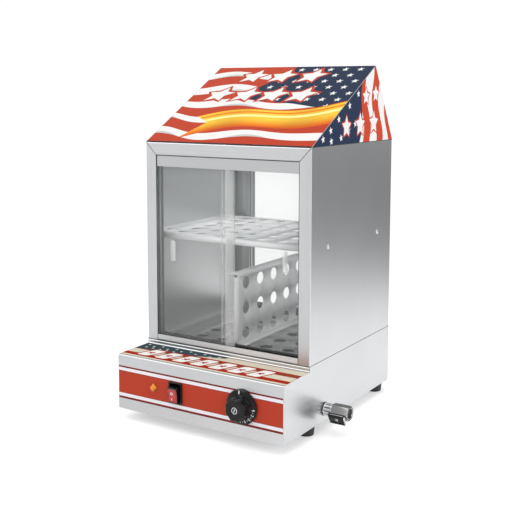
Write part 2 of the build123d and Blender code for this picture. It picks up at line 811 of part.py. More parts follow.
bulb_z = tank_floor + bulb_rise
with BuildPart() as thermostat_bulb:
    with BuildSketch(FRONT.offset(-bulb_front)):
        with Locations((bulb_x, bulb_z)):
            RegularPolygon(bulb_r, sides, major_radius=False)
    extrude(amount=-bulb_l)
    # the capillary tube runs slantwise to the back of the thermostat
    start = Vector(*TOP.from_local_coords((bulb_x, bulb_front, bulb_z)))
    end = Vector(*TOP.from_local_coords((dial_x - 8, sheet + thermostat_d - step_d, bulb_z)))
    with BuildSketch(Plane(start, z_dir=end - start)):
        RegularPolygon(capillary_r, sides)
    extrude(amount=(end - start).length)
thermostat_bulb.part.label = "thermostat_bulb"
export_step(thermostat_bulb.part, "parts/thermostat_bulb.step")

pivot_y = -step_d - rocker_out
pivot_z = z_base + switch_z - rocker_drop
with BuildPart() as switch_housing:
    with BuildSketch(switch):
        Rectangle(bezel_w, bezel_h)
    extrude(amount=bezel_t)
    chamfer(switch_housing.faces().sort_by(Axis.Y)[0].edges(), 0.8)
    with BuildSketch(switch):
        Rectangle(pocket_w + 2 * sheet, pocket_h + 2 * sheet)
    extrude(amount=-(pocket_d + 2 * sheet))
    with BuildSketch(switch.offset(bezel_t)):
        Rectangle(pocket_w, pocket_h)
    extrude(amount=-(bezel_t + pocket_d), mode=Mode.SUBTRACT)
    with BuildSketch(SIDE.offset(switch_x)):
        with Locations((pivot_y, pivot_z)):
            Circle(axle_r + running)
    extrude(amount=axle_l / 2 + 0.5, both=True, mode=Mode.SUBTRACT)
    with BuildSketch(switch.offset(-(pocket_d + 2 * sheet))):
        with GridLocations(pocket_w / 2, pocket_h / 2, 2, 2):
            Rectangle(tab_t, tab_w)
    extrude(amount=-tab_l)
switch_housing.part.label = "switch_housing"
export_step(switch_housing.part, "parts/switch_housing.step")

with BuildPart() as switch_rocker:
    turn = radians(rocker_tilt)
    shape = [
        (-rocker_reach, rocker_half),
        (-rocker_reach + rocker_hollow, 0),
        (-rocker_reach, -rocker_half),
        (1.5, -rocker_half),
        (7.0, -5.0),
        (7.0, 5.0),
        (1.5, rocker_half),
    ]
    tilted = [
        (pivot_y + y * cos(turn) - z * sin(turn), pivot_z + y * sin(turn) + z * cos(turn)) for y, z in shape
    ]
    extrude(outline(SIDE.offset(switch_x), tilted), amount=rocker_w / 2, both=True)
    with BuildSketch(SIDE.offset(switch_x)):
        with Locations((pivot_y, pivot_z)):
            RegularPolygon(axle_r, 2 * sides)
    extrude(amount=axle_l / 2, both=True)
switch_rocker.part.label = "switch_rocker"
export_step(switch_rocker.part, "parts/switch_rocker.step")

with BuildPart() as lamp_housing:
    with BuildSketch(lamp):
        Circle(lamp_rim)
    extrude(amount=sheet)
    with BuildSketch(lamp):
        RegularPolygon(lamp_r, sides)
    extrude(amount=-lamp_l)
    with BuildSketch(lamp.offset(sheet)):
        RegularPolygon(lens_r, sides)
    extrude(amount=-lens_l, mode=Mode.SUBTRACT)
lamp_housing.part.label = "lamp_housing"
export_step(lamp_housing.part, "parts/lamp_housing.step")

with BuildPart() as lamp_lens:
    with BuildSketch(lamp.offset(sheet - lens_l)):
        RegularPolygon(lens_r, sides)
    extrude(amount=lens_l + lens_dome)
    chamfer(lamp_lens.faces().sort_by(Axis.Y)[0].edges(), lens_dome)
lamp_lens.part.label = "lamp_lens"
export_step(lamp_lens.part, "parts/lamp_lens.step")

# ================================================================ heater, supply
element_z = tank_floor + element_rise
with BuildPart() as heating_element:
    with BuildLine(TOP.offset(element_z)) as hairpin:
        FilletPolyline(
            (-element_x, tank_y - terminal_l),
            (-element_x, tank_y + element_l),
            (element_x, tank_y + element_l),
            (element_x, tank_y - terminal_l),
            radius=element_bend,
        )
    with BuildSketch(Plane(hairpin.line @ 0, x_dir=TOP.x_dir, z_dir=hairpin.line % 0)):
        RegularPolygon(element_r, sides, major_radius=False)
    sweep()
heating_element.part.label = "heating_element"
export_step(heating_element.part, "parts/heating_element.step")

with BuildPart() as tank_nuts:
    for x, z, hole in (
        (-element_x, element_z, element_r),
        (element_x, element_z, element_r),
        (bulb_x, bulb_z, bulb_r),
    ):
        with BuildSketch(FRONT.offset(-tank_y)):
            with Locations((x, z)):
                RegularPolygon(tank_nut_af / 2, 6, major_radius=False)
                RegularPolygon(hole, sides, major_radius=False, mode=Mode.SUBTRACT)
        extrude(amount=tank_nut_t)
    for x, turn in ((tank_w / 2, 1), (tank_w / 2 - sheet, -1)):
        with BuildSketch(SIDE.offset(x)):
            with Locations((drain_y, z_base + drain_z)):
                RegularPolygon(valve_af / 2, 6, major_radius=False)
                RegularPolygon(pipe_r, 2 * sides, major_radius=False, mode=Mode.SUBTRACT)
        extrude(amount=turn * drain_nut_t)
tank_nuts.part.label = "tank_nuts"
export_step(tank_nuts.part, "parts/tank_nuts.step")

with BuildPart() as thermal_cutout:
    with BuildSketch(FRONT.offset(-tank_y)):
        with Locations((cutout_x, element_z)):
            RegularPolygon(cutout_r, 2 * sides)
    extrude(amount=cutout_t)
    with BuildSketch(FRONT.offset(cutout_t - tank_y)):
        with Locations((cutout_x, element_z)):
            Rectangle(cutout_w, cutout_h)
    extrude(amount=cutout_step)
    with BuildSketch(FRONT.offset(cutout_t + cutout_step - tank_y)):
        with Locations((cutout_x, element_z)):
            with GridLocations(cutout_w - tab_w / 2, 1, 2, 1):
                Rectangle(tab_t, tab_w)
    extrude(amount=tab_l)
thermal_cutout.part.label = "thermal_cutout"
export_step(thermal_cutout.part, "parts/thermal_cutout.step")

with BuildPart() as terminal_block:
    with BuildSketch(TOP.offset(z_base + sheet)):
        with Locations((block_x, block_y)):
            Rectangle(block_w, block_d)
    extrude(amount=block_h)
    with BuildSketch(TOP.offset(z_base + sheet + block_h)):
        with Locations((block_x, block_y)):
            with GridLocations(block_pitch, 1, 3, 1):
                Rectangle(block_tower_w, block_tower_d)
    extrude(amount=block_tower_h)
    with BuildSketch(TOP.offset(z_base + sheet + block_h + block_tower_h)):
        with Locations((block_x, block_y)):
            with GridLocations(block_pitch, block_tower_d / 2, 3, 2):
                Rectangle(block_hole, block_hole)
    extrude(amount=-block_hole_depth, mode=Mode.SUBTRACT)
terminal_block.part.label = "terminal_block"
export_step(terminal_block.part, "parts/terminal_block.step")

with BuildPart() as cable_gland:
    hole_z = z_base + gland_z
    with BuildSketch(REAR.offset(-sheet - gland_locknut)):
        with Locations((-gland_x, hole_z)):
            RegularPolygon(gland_r, 6)
    extrude(amount=gland_locknut)
    with BuildSketch(REAR.offset(-sheet)):
        with Locations((-gland_x, hole_z)):
            Circle(gland_r - 2)
    extrude(amount=sheet)
    with BuildSketch(REAR):
        with Locations((-gland_x, hole_z)):
            RegularPolygon(gland_r, 6)
    extrude(amount=gland_collar)
    with BuildSketch(REAR.offset(gland_collar)):
        with Locations((-gland_x, hole_z)):
            RegularPolygon(gland_r - 1.5, 2 * sides)
    extrude(amount=gland_dome)
    chamfer(cable_gland.faces().sort_by(Axis.Y)[-1].edges(), 2.5)
    with BuildSketch(REAR.offset(gland_reach)):
        with Locations((-gland_x, hole_z)):
            Circle(gland_bore)
    extrude(amount=-(gland_reach + 3 * sheet + gland_locknut), mode=Mode.SUBTRACT)
cable_gland.part.label = "cable_gland"
export_step(cable_gland.part, "parts/cable_gland.step")

# ================================================================ drain
drain_h = z_base + drain_z
valve_x = half + washer_t + stub_l  # near end of the valve's hexagon
plug_x = valve_x + valve_l - outlet_l - plug_wall - plug_r  # middle of the plug
pipe_end = plug_x - plug_r - plug_wall

with BuildPart() as drain_pipe:
    with BuildSketch(SIDE.offset(tank_w / 2 - 8)):
        with Locations((drain_y, drain_h)):
            Circle(pipe_r)
            Circle(pipe_bore, mode=Mode.SUBTRACT)
    extrude(amount=pipe_end - tank_w / 2 + 8)
drain_pipe.part.label = "drain_pipe"
export_step(drain_pipe.part, "parts/drain_pipe.step")

with BuildPart() as drain_washer:
    with BuildSketch(SIDE.offset(half)):
        with Locations((drain_y, drain_h)):
            RegularPolygon(washer_r, 3 * sides)
            RegularPolygon(pipe_r, 3 * sides, major_radius=False, mode=Mode.SUBTRACT)
    extrude(amount=washer_t)
drain_washer.part.label = "drain_washer"
export_step(drain_washer.part, "parts/drain_washer.step")

tilt = radians(stem_tilt)
centre = SIDE.offset(plug_x).from_local_coords((drain_y, drain_h, 0))
stem = Plane(centre, x_dir=(1, 0, 0), z_dir=(0, -cos(tilt), -sin(tilt)))

with BuildPart() as valve_body:
    with BuildSketch(SIDE.offset(valve_x)):
        with Locations((drain_y, drain_h)):
            RegularPolygon(valve_af / 2, 6, major_radius=False, rotation=30)
    extrude(amount=valve_l)
    with BuildSketch(SIDE.offset(valve_x)):
        with Locations((drain_y, drain_h)):
            RegularPolygon(socket_r, socket_sides)
    extrude(amount=-stub_l)
    with BuildSketch(stem):
        RegularPolygon(packing_nut_r, 6)
    extrude(amount=packing_nut_l)
    for start, depth, hole in (
        (valve_x - stub_l, pipe_end - valve_x + stub_l, pipe_r),
        (valve_x, valve_l, plug_bore),
        (valve_x + valve_l, -outlet_l, outlet_r),
    ):
        with BuildSketch(SIDE.offset(start)):
            with Locations((drain_y, drain_h)):
                Circle(hole)
        extrude(amount=depth, mode=Mode.SUBTRACT)
    with BuildSketch(stem):
        Circle(plug_r + running)
    extrude(amount=plug_half + running, both=True, mode=Mode.SUBTRACT)
    with BuildSketch(stem):
        Circle(stem_r + running)
    extrude(amount=2 * valve_af, mode=Mode.SUBTRACT)
valve_body.part.label = "valve_body"
export_step(valve_body.part, "parts/valve_body.step")

with BuildPart() as valve_plug:
    with BuildSketch(stem):
        Circle(plug_r)
    extrude(amount=plug_half, both=True)
    with BuildSketch(SIDE.offset(plug_x)):
        with Locations((drain_y, drain_h)):
            Circle(plug_bore)
    extrude(amount=plug_r + 1, both=True, mode=Mode.SUBTRACT)
    with BuildSketch(stem.offset(plug_half)):
        Circle(stem_r)
    extrude(amount=lever_out - plug_half)
    with BuildSketch(stem.offset(lever_out)):
        Rectangle(drive_w, drive_w)
    extrude(amount=lever_t)
    with BuildSketch(stem.offset(lever_out + lever_t)):
        RegularPolygon(lever_screw_r, sides)
    extrude(amount=-lever_screw_l, mode=Mode.SUBTRACT)
valve_plug.part.label = "valve_plug"
export_step(valve_plug.part, "parts/valve_plug.step")

with BuildPart() as valve_lever:
    with BuildSketch(stem.offset(lever_out)) as wing:
        RectangleRounded(lever_l, lever_w, lever_w / 4)
    extrude(amount=lever_t)
    with BuildSketch(stem.offset(lever_out)):
        Rectangle(drive_w, drive_w)
    extrude(amount=lever_t, mode=Mode.SUBTRACT)
valve_lever.part.label = "valve_lever"
export_step(valve_lever.part, "parts/valve_lever.step")

with BuildPart() as lever_screw:
    with BuildSketch(stem.offset(lever_out + lever_t)):
        RegularPolygon(screw_head_r, sides)
    extrude(amount=lever_head_t)
    with BuildSketch(stem.offset(lever_out + lever_t)):
        RegularPolygon(lever_screw_r, sides)
    extrude(amount=-lever_screw_l)
lever_screw.part.label = "lever_screw"
export_step(lever_screw.part, "parts/lever_screw.step")
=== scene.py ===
"""Looks of the counter-top hot dog steamer: printed films, glass doors, controls, drain valve and studio.

Lengths are millimetres from the middle of the cabinet's front face at floor level (x across, y back, z up)
until place() turns them into metres in the frame.
"""

import math

import bmesh
import bpy
import numpy as np
from mathutils import Matrix, Vector
from mathutils.geometry import delaunay_2d_cdt


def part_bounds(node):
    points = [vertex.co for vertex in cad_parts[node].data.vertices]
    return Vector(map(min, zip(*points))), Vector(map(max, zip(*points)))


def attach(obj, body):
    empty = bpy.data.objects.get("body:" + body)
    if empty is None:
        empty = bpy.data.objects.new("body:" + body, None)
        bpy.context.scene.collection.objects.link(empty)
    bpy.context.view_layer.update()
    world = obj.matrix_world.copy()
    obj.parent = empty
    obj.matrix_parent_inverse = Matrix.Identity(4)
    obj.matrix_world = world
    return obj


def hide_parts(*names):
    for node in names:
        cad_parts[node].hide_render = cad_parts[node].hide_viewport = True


bl_info = {
    "name": "Hot Dog Steamer Looks",
    "version": (1, 0, 0),
    "blender": (4, 5, 0),
    "location": "View3D > Sidebar > Steamer",
    "description": "Dresses the packed steamer with printed films, glass, controls and a studio",
    "category": "Object",
}

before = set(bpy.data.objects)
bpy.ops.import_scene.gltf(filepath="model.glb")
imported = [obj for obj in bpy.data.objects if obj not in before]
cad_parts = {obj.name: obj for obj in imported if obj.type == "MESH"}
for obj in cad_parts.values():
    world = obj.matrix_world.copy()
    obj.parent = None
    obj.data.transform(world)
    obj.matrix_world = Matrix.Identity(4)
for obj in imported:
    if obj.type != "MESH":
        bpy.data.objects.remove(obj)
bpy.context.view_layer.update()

MM = 0.001
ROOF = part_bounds("roof_panel")
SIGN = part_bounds("sign_front_panel")
ORIGIN = np.array([(ROOF[0].x + ROOF[1].x) / 2, ROOF[0].y, 0.0]) / MM

# cabinet, step and sign
HALF = 150.0  # half the cabinet's width
CAB_D = (ROOF[1].y - ROOF[0].y) / MM
Z_BASE, Z_STEP, Z_DECK = 18.0, 105.0, 113.0  # underside of the base, top of the step, foot of the cabinet
Z_TOP = ROOF[1].z / MM
Y_PANEL = -75.0  # face of the control panel
POST, RAIL = 20.0, 21.0
REAR_POST, REAR_RAIL = 28.0, 28.0
SHEET = 1.0
BEND = 2.0  # outer radius of a folded edge
RISE = SIGN[1].z / MM - Z_TOP
RIDGE_Y = SIGN[1].y / MM - ORIGIN[1]
RIDGE_Y -= SHEET * math.sin(math.atan2(RISE, RIDGE_Y))

# punched holes
STEAM_HOLE = 10.0  # radius in the divider and the steam plate
SHELF_HOLE = 8.0  # radius in the shelf
HOLE_PITCH_Y, HOLE_PITCH = 42.7, 41.0  # of the steam holes, along the depth and across it
SHELF_PITCH = 38.0

# middles of the controls, across and up, and the axes of the valve, feet and shelf screws
DIAL = (81.0, 62.7)
LAMP = (-79.5, 63.0)
SWITCH = (-38.4, 61.4)
VALVE = (HALF, 47.5, 36.0)
FOOT_X, FOOT_Y = 131.0, (24.0, CAB_D - 15.5)
SCREW_Z, SCREW_Y = 283.5, (CAB_D / 2 - 87.2, CAB_D / 2 + 87.2)

TOUCHING = 1e-7  # metres between two points that are one
BEVELLED = 40.0  # degrees of turn from which an edge is bevelled


# ---------------------------------------------------------------- colours and settings
def tone(red, green, blue):
    """Linear colour of an 8-bit display colour: c/12.92 near black, else ((c + 0.055) / 1.055) ** 2.4."""
    c = np.array([red, green, blue]) / 255.0
    return tuple(float(v) for v in np.where(c <= 0.04045, c / 12.92, ((c + 0.055) / 1.055) ** 2.4))


def colour(name, description, rgb):
    """Colour property whose default is an 8-bit display colour."""
    return bpy.props.FloatVectorProperty(
        name=name, description=description, subtype="COLOR", size=3, min=0, max=1, default=tone(*rgb)
    )


def length(name, description, default):
    """Length property whose default is given in millimetres."""
    return bpy.props.FloatProperty(
        name=name, description=description, default=default * MM, min=0, precision=5, unit="LENGTH"
    )


class STEAMER_PG_inks(bpy.types.PropertyGroup):
    """Inks of the printed films."""

    sign_red: colour("Sign Red", "Red stripes of the sign", (184, 62, 36))
    sign_white: colour("Sign White", "White stripes and stars of the sign", (232, 231, 228))
    navy: colour("Navy", "Star field of the sign", (33, 46, 70))
    gold: colour("Gold", "Upper side of the ribbon", (252, 200, 60))
    orange: colour("Orange", "Lower side of the ribbon", (232, 120, 24))
    panel_red: colour("Panel Red", "Red field of the control panel", (182, 57, 33))
    line_red: colour("Line Red", "Thin dark red lines", (122, 26, 22))
    cream: colour("Cream", "Pale stripes of the step's film", (219, 209, 189))
    slate: colour("Slate", "Star strip of the step's film", (62, 78, 84))


class STEAMER_PG_finish(bpy.types.PropertyGroup):
    """Metals, plastics and glass."""

    steel: colour("Steel", "Brushed stainless sheet", (205, 206, 207))
    aluminium: colour("Aluminium", "Anodised door tracks", (188, 189, 190))
    chrome: colour("Chrome", "Polished fittings", (226, 227, 228))
    nickel: colour("Nickel", "Valve body", (166, 166, 165))
    black: colour("Black", "Moulded black plastic", (9, 9, 10))
    rubber: colour("Rubber", "Feet and washer", (44, 45, 46))
    rocker: colour("Rocker", "Translucent red rocker", (196, 40, 32))
    amber: colour("Amber", "Indicator lens", (240, 142, 30))
    glass: colour("Glass", "Veil of the door glass", (236, 241, 239))
    glass_veil: bpy.props.FloatProperty(
        name="Glass Veil",
        description="Share of light that a pane keeps",
        default=0.08,
        min=0,
        max=1,
        subtype="FACTOR",
    )


class STEAMER_PG_sizes(bpy.types.PropertyGroup):
    """Sizes that the looks add to those of the frame."""

    panel_film: length("Panel Film", "Thickness of the films on the control panel and the step", 0.15)
    sign_film: length("Sign Film", "Thickness of the films on the sign", 0.18)
    seam: length("Seam", "Width of the dark line in a sheet joint", 0.9)
    star_pitch: length("Star Pitch", "Distance between the stars of the sign", 27.0)


def settings():
    """The scene's three groups of properties: inks, finish and sizes."""
    scene = bpy.context.scene
    return scene.steamer_inks, scene.steamer_finish, scene.steamer_sizes


# ---------------------------------------------------------------- placing and meshing
def place(points):
    """Millimetres in the part to metres in the frame: (p + origin) / 1000."""
    return (np.asarray(points, float) + ORIGIN) * MM


def part_box(node):
    """Lowest and highest corner of a frame node, in part millimetres."""
    low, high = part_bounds(node)
    return np.array(low) / MM - ORIGIN, np.array(high) / MM - ORIGIN


def axes(centre, right, up):
    """A function that takes (u, v, w) rows to part points: centre + u right + v up + w (right x up)."""
    right, up = np.asarray(right, float), np.asarray(up, float)
    turn = np.array([right, up, np.cross(right, up)])
    return lambda rows: np.asarray(centre, float) + np.asarray(rows, float) @ turn


def on_panel(x, z):
    """Axes on the control panel: u to the right, v up, w towards the front."""
    return axes((x, Y_PANEL, z), (1, 0, 0), (0, 0, 1))


def moved(to_part, shape):
    """A (points, faces) shape with its points taken through an axes function."""
    return to_part(shape[0]), shape[1]


def joined(*parts):
    """Several (points, faces) shapes as one."""
    points, faces, base = [], [], 0
    for p, f in parts:
        points.append(np.asarray(p, float))
        faces += [[i + base for i in face] for face in (f.tolist() if hasattr(f, "tolist") else f)]
        base += len(p)
    return np.concatenate(points), faces


def grid_faces(rows, columns, close_rows=False, close_columns=False):
    """Quads between neighbours of a rows x columns grid of points, numbered row by row."""
    r = np.arange(rows if close_rows else rows - 1)
    c = np.arange(columns if close_columns else columns - 1)
    a = (r[:, None] * columns + c[None, :]).ravel()
    b = (r[:, None] * columns + (c[None, :] + 1) % columns).ravel()
    d = (((r[:, None] + 1) % rows) * columns + c[None, :]).ravel()
    e = (((r[:, None] + 1) % rows) * columns + (c[None, :] + 1) % columns).ravel()
    return np.stack([a, b, e, d], axis=1)


def closed_tube(rings, count):
    """Faces between rings of count points that follow each other, with a flat face over each end."""
    side = grid_faces(rings, count, close_columns=True).tolist()
    return side + [list(range(count))[::-1], list(range((rings - 1) * count, rings * count))]


def circle(radius, count=48, centre=(0.0, 0.0), start=0.0):
    """Points on a circle: centre + radius (cos t, sin t)."""
    t = start + np.arange(count) * 2 * math.pi / count
    return np.asarray(centre) + radius * np.stack([np.cos(t), np.sin(t)], axis=1)


def rounded_box(width, height, radius, steps=8):
    """Rectangle whose corners are quarter circles of the given radius."""
    t = np.linspace(0, math.pi / 2, steps)
    quarter = radius * np.stack([np.cos(t), np.sin(t)], axis=1)
    corners = []
    for k, (sx, sy) in enumerate(((1, 1), (-1, 1), (-1, -1), (1, -1))):
        c, s = math.cos(k * math.pi / 2), math.sin(k * math.pi / 2)
        turned = quarter @ np.array([[c, s], [-s, c]])
        corners.append(turned + [sx * (width / 2 - radius), sy * (height / 2 - radius)])
    return np.concatenate(corners)


def level_band(wide, low, high):
    """Rectangle from -wide to wide across and from low to high."""
    return np.array([(-wide, low), (wide, low), (wide, high), (-wide, high)])


def star(size, centre=(0.0, 0.0), lean=0.0, inner=0.42, turn=0.0, stretch=1.0):
    """Five-pointed star: radius alternates between size and inner * size, leaned by x += lean * y."""
    t = math.pi / 2 + turn + np.arange(10) * math.pi / 5
    r = np.where(np.arange(10) % 2 == 0, size, size * inner)
    points = np.stack([r * np.cos(t) * stretch, r * np.sin(t)], axis=1)
    points[:, 0] += lean * points[:, 1]
    return points + np.asarray(centre)


def revolved(profile, count=64, lobes=None):
    """Surface of revolution about w: (r cos t, r sin t, w), with r scaled by lobes(t, w) where given."""
    profile = np.asarray(profile, float)
    t = np.arange(count) * 2 * math.pi / count
    r = np.repeat(profile[:, :1], count, axis=1)
    w = np.repeat(profile[:, 1:], count, axis=1)
    if lobes is not None:
        r = r * lobes(t[None, :], w)
    points = np.stack([r * np.cos(t), r * np.sin(t), w], axis=2).reshape(-1, 3)
    return points, grid_faces(len(profile), count, close_columns=True)


def prism(outline, low, high):
    """Outline in (u, v) carried from w = low to w = high, closed at both ends."""
    outline = np.asarray(outline, float)
    n = len(outline)
    points = np.concatenate([np.c_[outline, np.full(n, low)], np.c_[outline, np.full(n, high)]])
    return points, closed_tube(2, n)


def boxes_stack(rows):
    """Rounded boxes (half width, half height, corner radius, u, v, w) laid on each other and skinned."""
    rings = [np.c_[rounded_box(2 * a, 2 * b, r) + [u, v], np.full(32, w)] for a, b, r, u, v, w in rows]
    return np.concatenate(rings), closed_tube(len(rows), 32)


def make_piece(
    name, shape, body, slot, finishes, replaces=(), smooth=30.0, bevel=0.0, segments=2, inks=None, solid=0.0
):
    """Mesh object from a shape in part millimetres, with its doubles merged and its normals outwards.

    smooth is the angle up to which shading is smooth, bevel a width, and solid the thickness of a wall, which
    goes inwards where it is positive and outwards where it is negative. A mesh with inks or a wall keeps the
    turn of its faces.
    """
    points, faces = shape
    mesh = bpy.data.meshes.new(name)
    mesh.from_pydata(place(points).tolist(), [], faces.tolist() if hasattr(faces, "tolist") else faces)
    if inks is not None:
        layer = mesh.color_attributes.new("ink", "FLOAT_COLOR", "CORNER")
        layer.data.foreach_set("color", np.c_[inks, np.ones(len(inks))].astype(np.float32).ravel())
    else:
        work = bmesh.new()
        work.from_mesh(mesh)
        bmesh.ops.remove_doubles(work, verts=work.verts, dist=TOUCHING)
        bmesh.ops.dissolve_degenerate(work, dist=TOUCHING / 10, edges=work.edges)
        if not solid:
            bmesh.ops.recalc_face_normals(work, faces=work.faces)
        work.to_mesh(mesh)
        work.free()
    for finish in [finishes] if isinstance(finishes, str) else finishes:
        mesh.materials.append(finish_of(finish))
    piece = bpy.data.objects.new(name, mesh)
    bpy.context.scene.collection.objects.link(piece)
    if smooth:
        mesh.shade_smooth()
        mesh.set_sharp_from_angle(angle=math.radians(smooth))
    if solid:
        wall = piece.modifiers.new("Thickness", "SOLIDIFY")
        wall.thickness, wall.offset = abs(solid) * MM, -1 if solid > 0 else 1
    if bevel:
        edge = piece.modifiers.new("Edge", "BEVEL")
        edge.width, edge.segments = bevel * MM, segments
        edge.limit_method, edge.angle_limit = "ANGLE", math.radians(BEVELLED)
    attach(piece, body)
    if replaces:
        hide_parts(*replaces)
    return piece


def anticlockwise(outline):
    """The outline in the order that makes its area, half the sum of x1 y2 - x2 y1, positive."""
    outline = np.asarray(outline, float)
    x, y = outline.T
    return outline if (x * np.roll(y, -1) - np.roll(x, -1) * y).sum() > 0 else outline[::-1]


def cut_up(outlines, lines=()):
    """Overlaid outlines and cut lines as points, triangles, and the outlines that lie round each triangle."""
    points = np.concatenate([*outlines, *(np.asarray(line, float) for line in lines)])
    ends = np.cumsum([len(o) for o in outlines])
    loops = [list(range(e - len(o), e)) for o, e in zip(outlines, ends)]
    edges = [(int(ends[-1]) + 2 * n, int(ends[-1]) + 2 * n + 1) for n in range(len(lines))]
    verts, _, triangles, _, _, inside = delaunay_2d_cdt([Vector(p) for p in points], edges, loops, 1, 1e-4)
    return np.array([tuple(v) for v in verts]), triangles, inside


def film(name, shapes, to_part, finish, thickness, holes=()):
    """Printed sheet: outlines are laid over each other and cut into triangles, and the topmost gives the ink.

    shapes are (outline, ink) with the sheet itself first; an ink is a colour or a function of (u, v) rows.
    """
    first_hole = len(shapes)
    flat, faces, inside = cut_up([anticlockwise(o) for o in [o for o, _ in shapes] + list(holes)])
    kept = [
        (face, max(i for i in ids if i < first_hole))
        for face, ids in zip(faces, inside)
        if 0 in ids and max(ids) < first_hole
    ]
    triangles = np.array([face for face, _ in kept])
    layer = np.repeat([top for _, top in kept], 3)
    corners = flat[triangles.ravel()]
    inks = np.zeros((len(corners), 3))
    for n, (_, ink) in enumerate(shapes):
        mine = layer == n
        inks[mine] = ink(corners[mine]) if callable(ink) else np.asarray(ink)
    a, b, c = (flat[triangles[:, k]] for k in range(3))
    twice_area = (b - a)[:, 0] * (c - a)[:, 1] - (b - a)[:, 1] * (c - a)[:, 0]
    if (twice_area < 0).any():
        raise RuntimeError(f"{name}: some triangles of the film are turned over")
    used, numbers = np.unique(triangles, return_inverse=True)
    surface = to_part(np.c_[flat[used], np.full(len(used), thickness)])
    shape = surface, numbers.reshape(-1, 3)
    wall = thickness * 0.8
    return make_piece(name, shape, "cabinet", "sign_print", finish, smooth=0, inks=inks, solid=wall)


def fold_line(points, radius, steps=6):
    """Line through points with its corners rounded, as rows of (length along, across, up)."""
    points = np.asarray(points, float)
    rows = [points[0]]
    for before, at, after in zip(points, points[1:], points[2:]):
        into, out = (at - before) / np.linalg.norm(at - before), (after - at) / np.linalg.norm(after - at)
        middle = at - into * radius + out * radius
        t = np.linspace(0, math.pi / 2, steps)[:, None]
        rows += list(middle - out * radius * np.cos(t) + into * radius * np.sin(t))
    rows = np.array(rows + [points[-1]])
    run = np.r_[0, np.cumsum(np.linalg.norm(np.diff(rows, axis=0), axis=1))]
    return np.c_[run, rows]


def cut_sheet(outline, holes, lines=()):
    """Flat outline with holes as triangles, cut along straight lines too so that it can be folded there."""
    flat, triangles, inside = cut_up([anticlockwise(o) for o in [outline, *holes]], lines)
    return flat, np.array([face for face, ids in zip(triangles, inside) if list(ids) == [0]])


# ---------------------------------------------------------------- materials
def node_group(name, inputs):
    """Empty shader group with inputs (name, kind, default) that gives a colour, a roughness and a height."""
    group = bpy.data.node_groups.new(name, "ShaderNodeTree")
    for label, kind, default in inputs:
        socket = group.interface.new_socket(label, in_out="INPUT", socket_type=f"NodeSocket{kind}")
        if default is not None:
            socket.default_value = default
    for label, kind in (("Color", "Color"), ("Roughness", "Float"), ("Height", "Float")):
        group.interface.new_socket(label, in_out="OUTPUT", socket_type=f"NodeSocket{kind}")
    return group, group.nodes.new("NodeGroupInput").outputs, group.nodes.new("NodeGroupOutput").inputs


def shader_node(tree, kind, **values):
    """Node with its attributes and inputs set; i0, i1, ... are inputs by number, and a socket is linked."""
    node = tree.nodes.new(f"ShaderNode{kind}")
    for key, value in values.items():
        if hasattr(node, key):
            setattr(node, key, value)
            continue
        socket = node.inputs[int(key[1:]) if key[0] == "i" and key[1:].isdigit() else key.replace("_", " ")]
        if isinstance(value, bpy.types.NodeSocket):
            tree.links.new(value, socket)
        else:
            socket.default_value = value
    return node


def maths(tree, operation, *values, clamp=False):
    """Result of a Math node on numbers or sockets."""
    inputs = {f"i{n}": value for n, value in enumerate(values)}
    return shader_node(tree, "Math", operation=operation, use_clamp=clamp, **inputs).outputs[0]


def mapped(tree, value, low, high, from_low=0.0, from_high=1.0):
    """The value moved from one range to another and kept inside it."""
    return shader_node(tree, "MapRange", i0=value, i1=from_low, i2=from_high, i3=low, i4=high).outputs[0]


def grey(tree, value):
    """The same value in all three channels."""
    return shader_node(tree, "CombineXYZ", i0=value, i1=value, i2=value).outputs[0]


def varied(tree, rgb, swing):
    """Colour times (1 + swing)."""
    factor = grey(tree, maths(tree, "ADD", swing, 1.0))
    return shader_node(tree, "VectorMath", operation="MULTIPLY", i0=rgb, i1=factor).outputs[0]


def noise(tree, spot, scale, detail, roughness=0.5):
    """Noise value at a place."""
    node = shader_node(tree, "TexNoise", Vector=spot, Scale=scale, Detail=detail, Roughness=roughness)
    return node.outputs[0]


def object_spot(tree):
    """Place on the piece, in metres of its own axes."""
    return shader_node(tree, "TexCoord").outputs["Object"]


def build_brushed_grain():
    """Brushed sheet: streaks and soft clouds vary the colour, and the streaks set roughness and height."""
    group, given, gives = node_group(
        "brushed_grain",
        [
            ("Vector", "Vector", None),
            ("Color", "Color", (0.6, 0.6, 0.6, 1)),
            ("Grain", "Float", 0.06),
            ("Cloud", "Float", 0.05),
            ("Smooth", "Float", 0.26),
            ("Coarse", "Float", 0.4),
        ],
    )
    streak = noise(group, given["Vector"], 1.0, 3.0, 0.6)
    cloud = noise(group, object_spot(group), 9.0, 2.0)
    grain = maths(group, "MULTIPLY", mapped(group, streak, -1, 1), given["Grain"])
    veil = maths(group, "MULTIPLY", mapped(group, cloud, -1, 1), given["Cloud"])
    group.links.new(varied(group, given["Color"], maths(group, "ADD", grain, veil)), gives["Color"])
    group.links.new(mapped(group, streak, given["Smooth"], given["Coarse"]), gives["Roughness"])
    group.links.new(streak, gives["Height"])


def build_moulded_skin():
    """Moulded plastic and rubber: broad patches vary colour and roughness, fine ones give the height."""
    group, given, gives = node_group(
        "moulded_skin",
        [
            ("Color", "Color", (0.02, 0.02, 0.02, 1)),
            ("Pitch", "Float", 900.0),
            ("Wear", "Float", 0.12),
            ("Smooth", "Float", 0.28),
            ("Coarse", "Float", 0.42),
        ],
    )
    spot = object_spot(group)
    broad = noise(group, spot, 40.0, 3.0)
    dust = maths(group, "MULTIPLY", mapped(group, broad, -1, 1), given["Wear"])
    group.links.new(varied(group, given["Color"], dust), gives["Color"])
    group.links.new(mapped(group, broad, given["Smooth"], given["Coarse"]), gives["Roughness"])
    group.links.new(noise(group, spot, given["Pitch"], 2.0), gives["Height"])


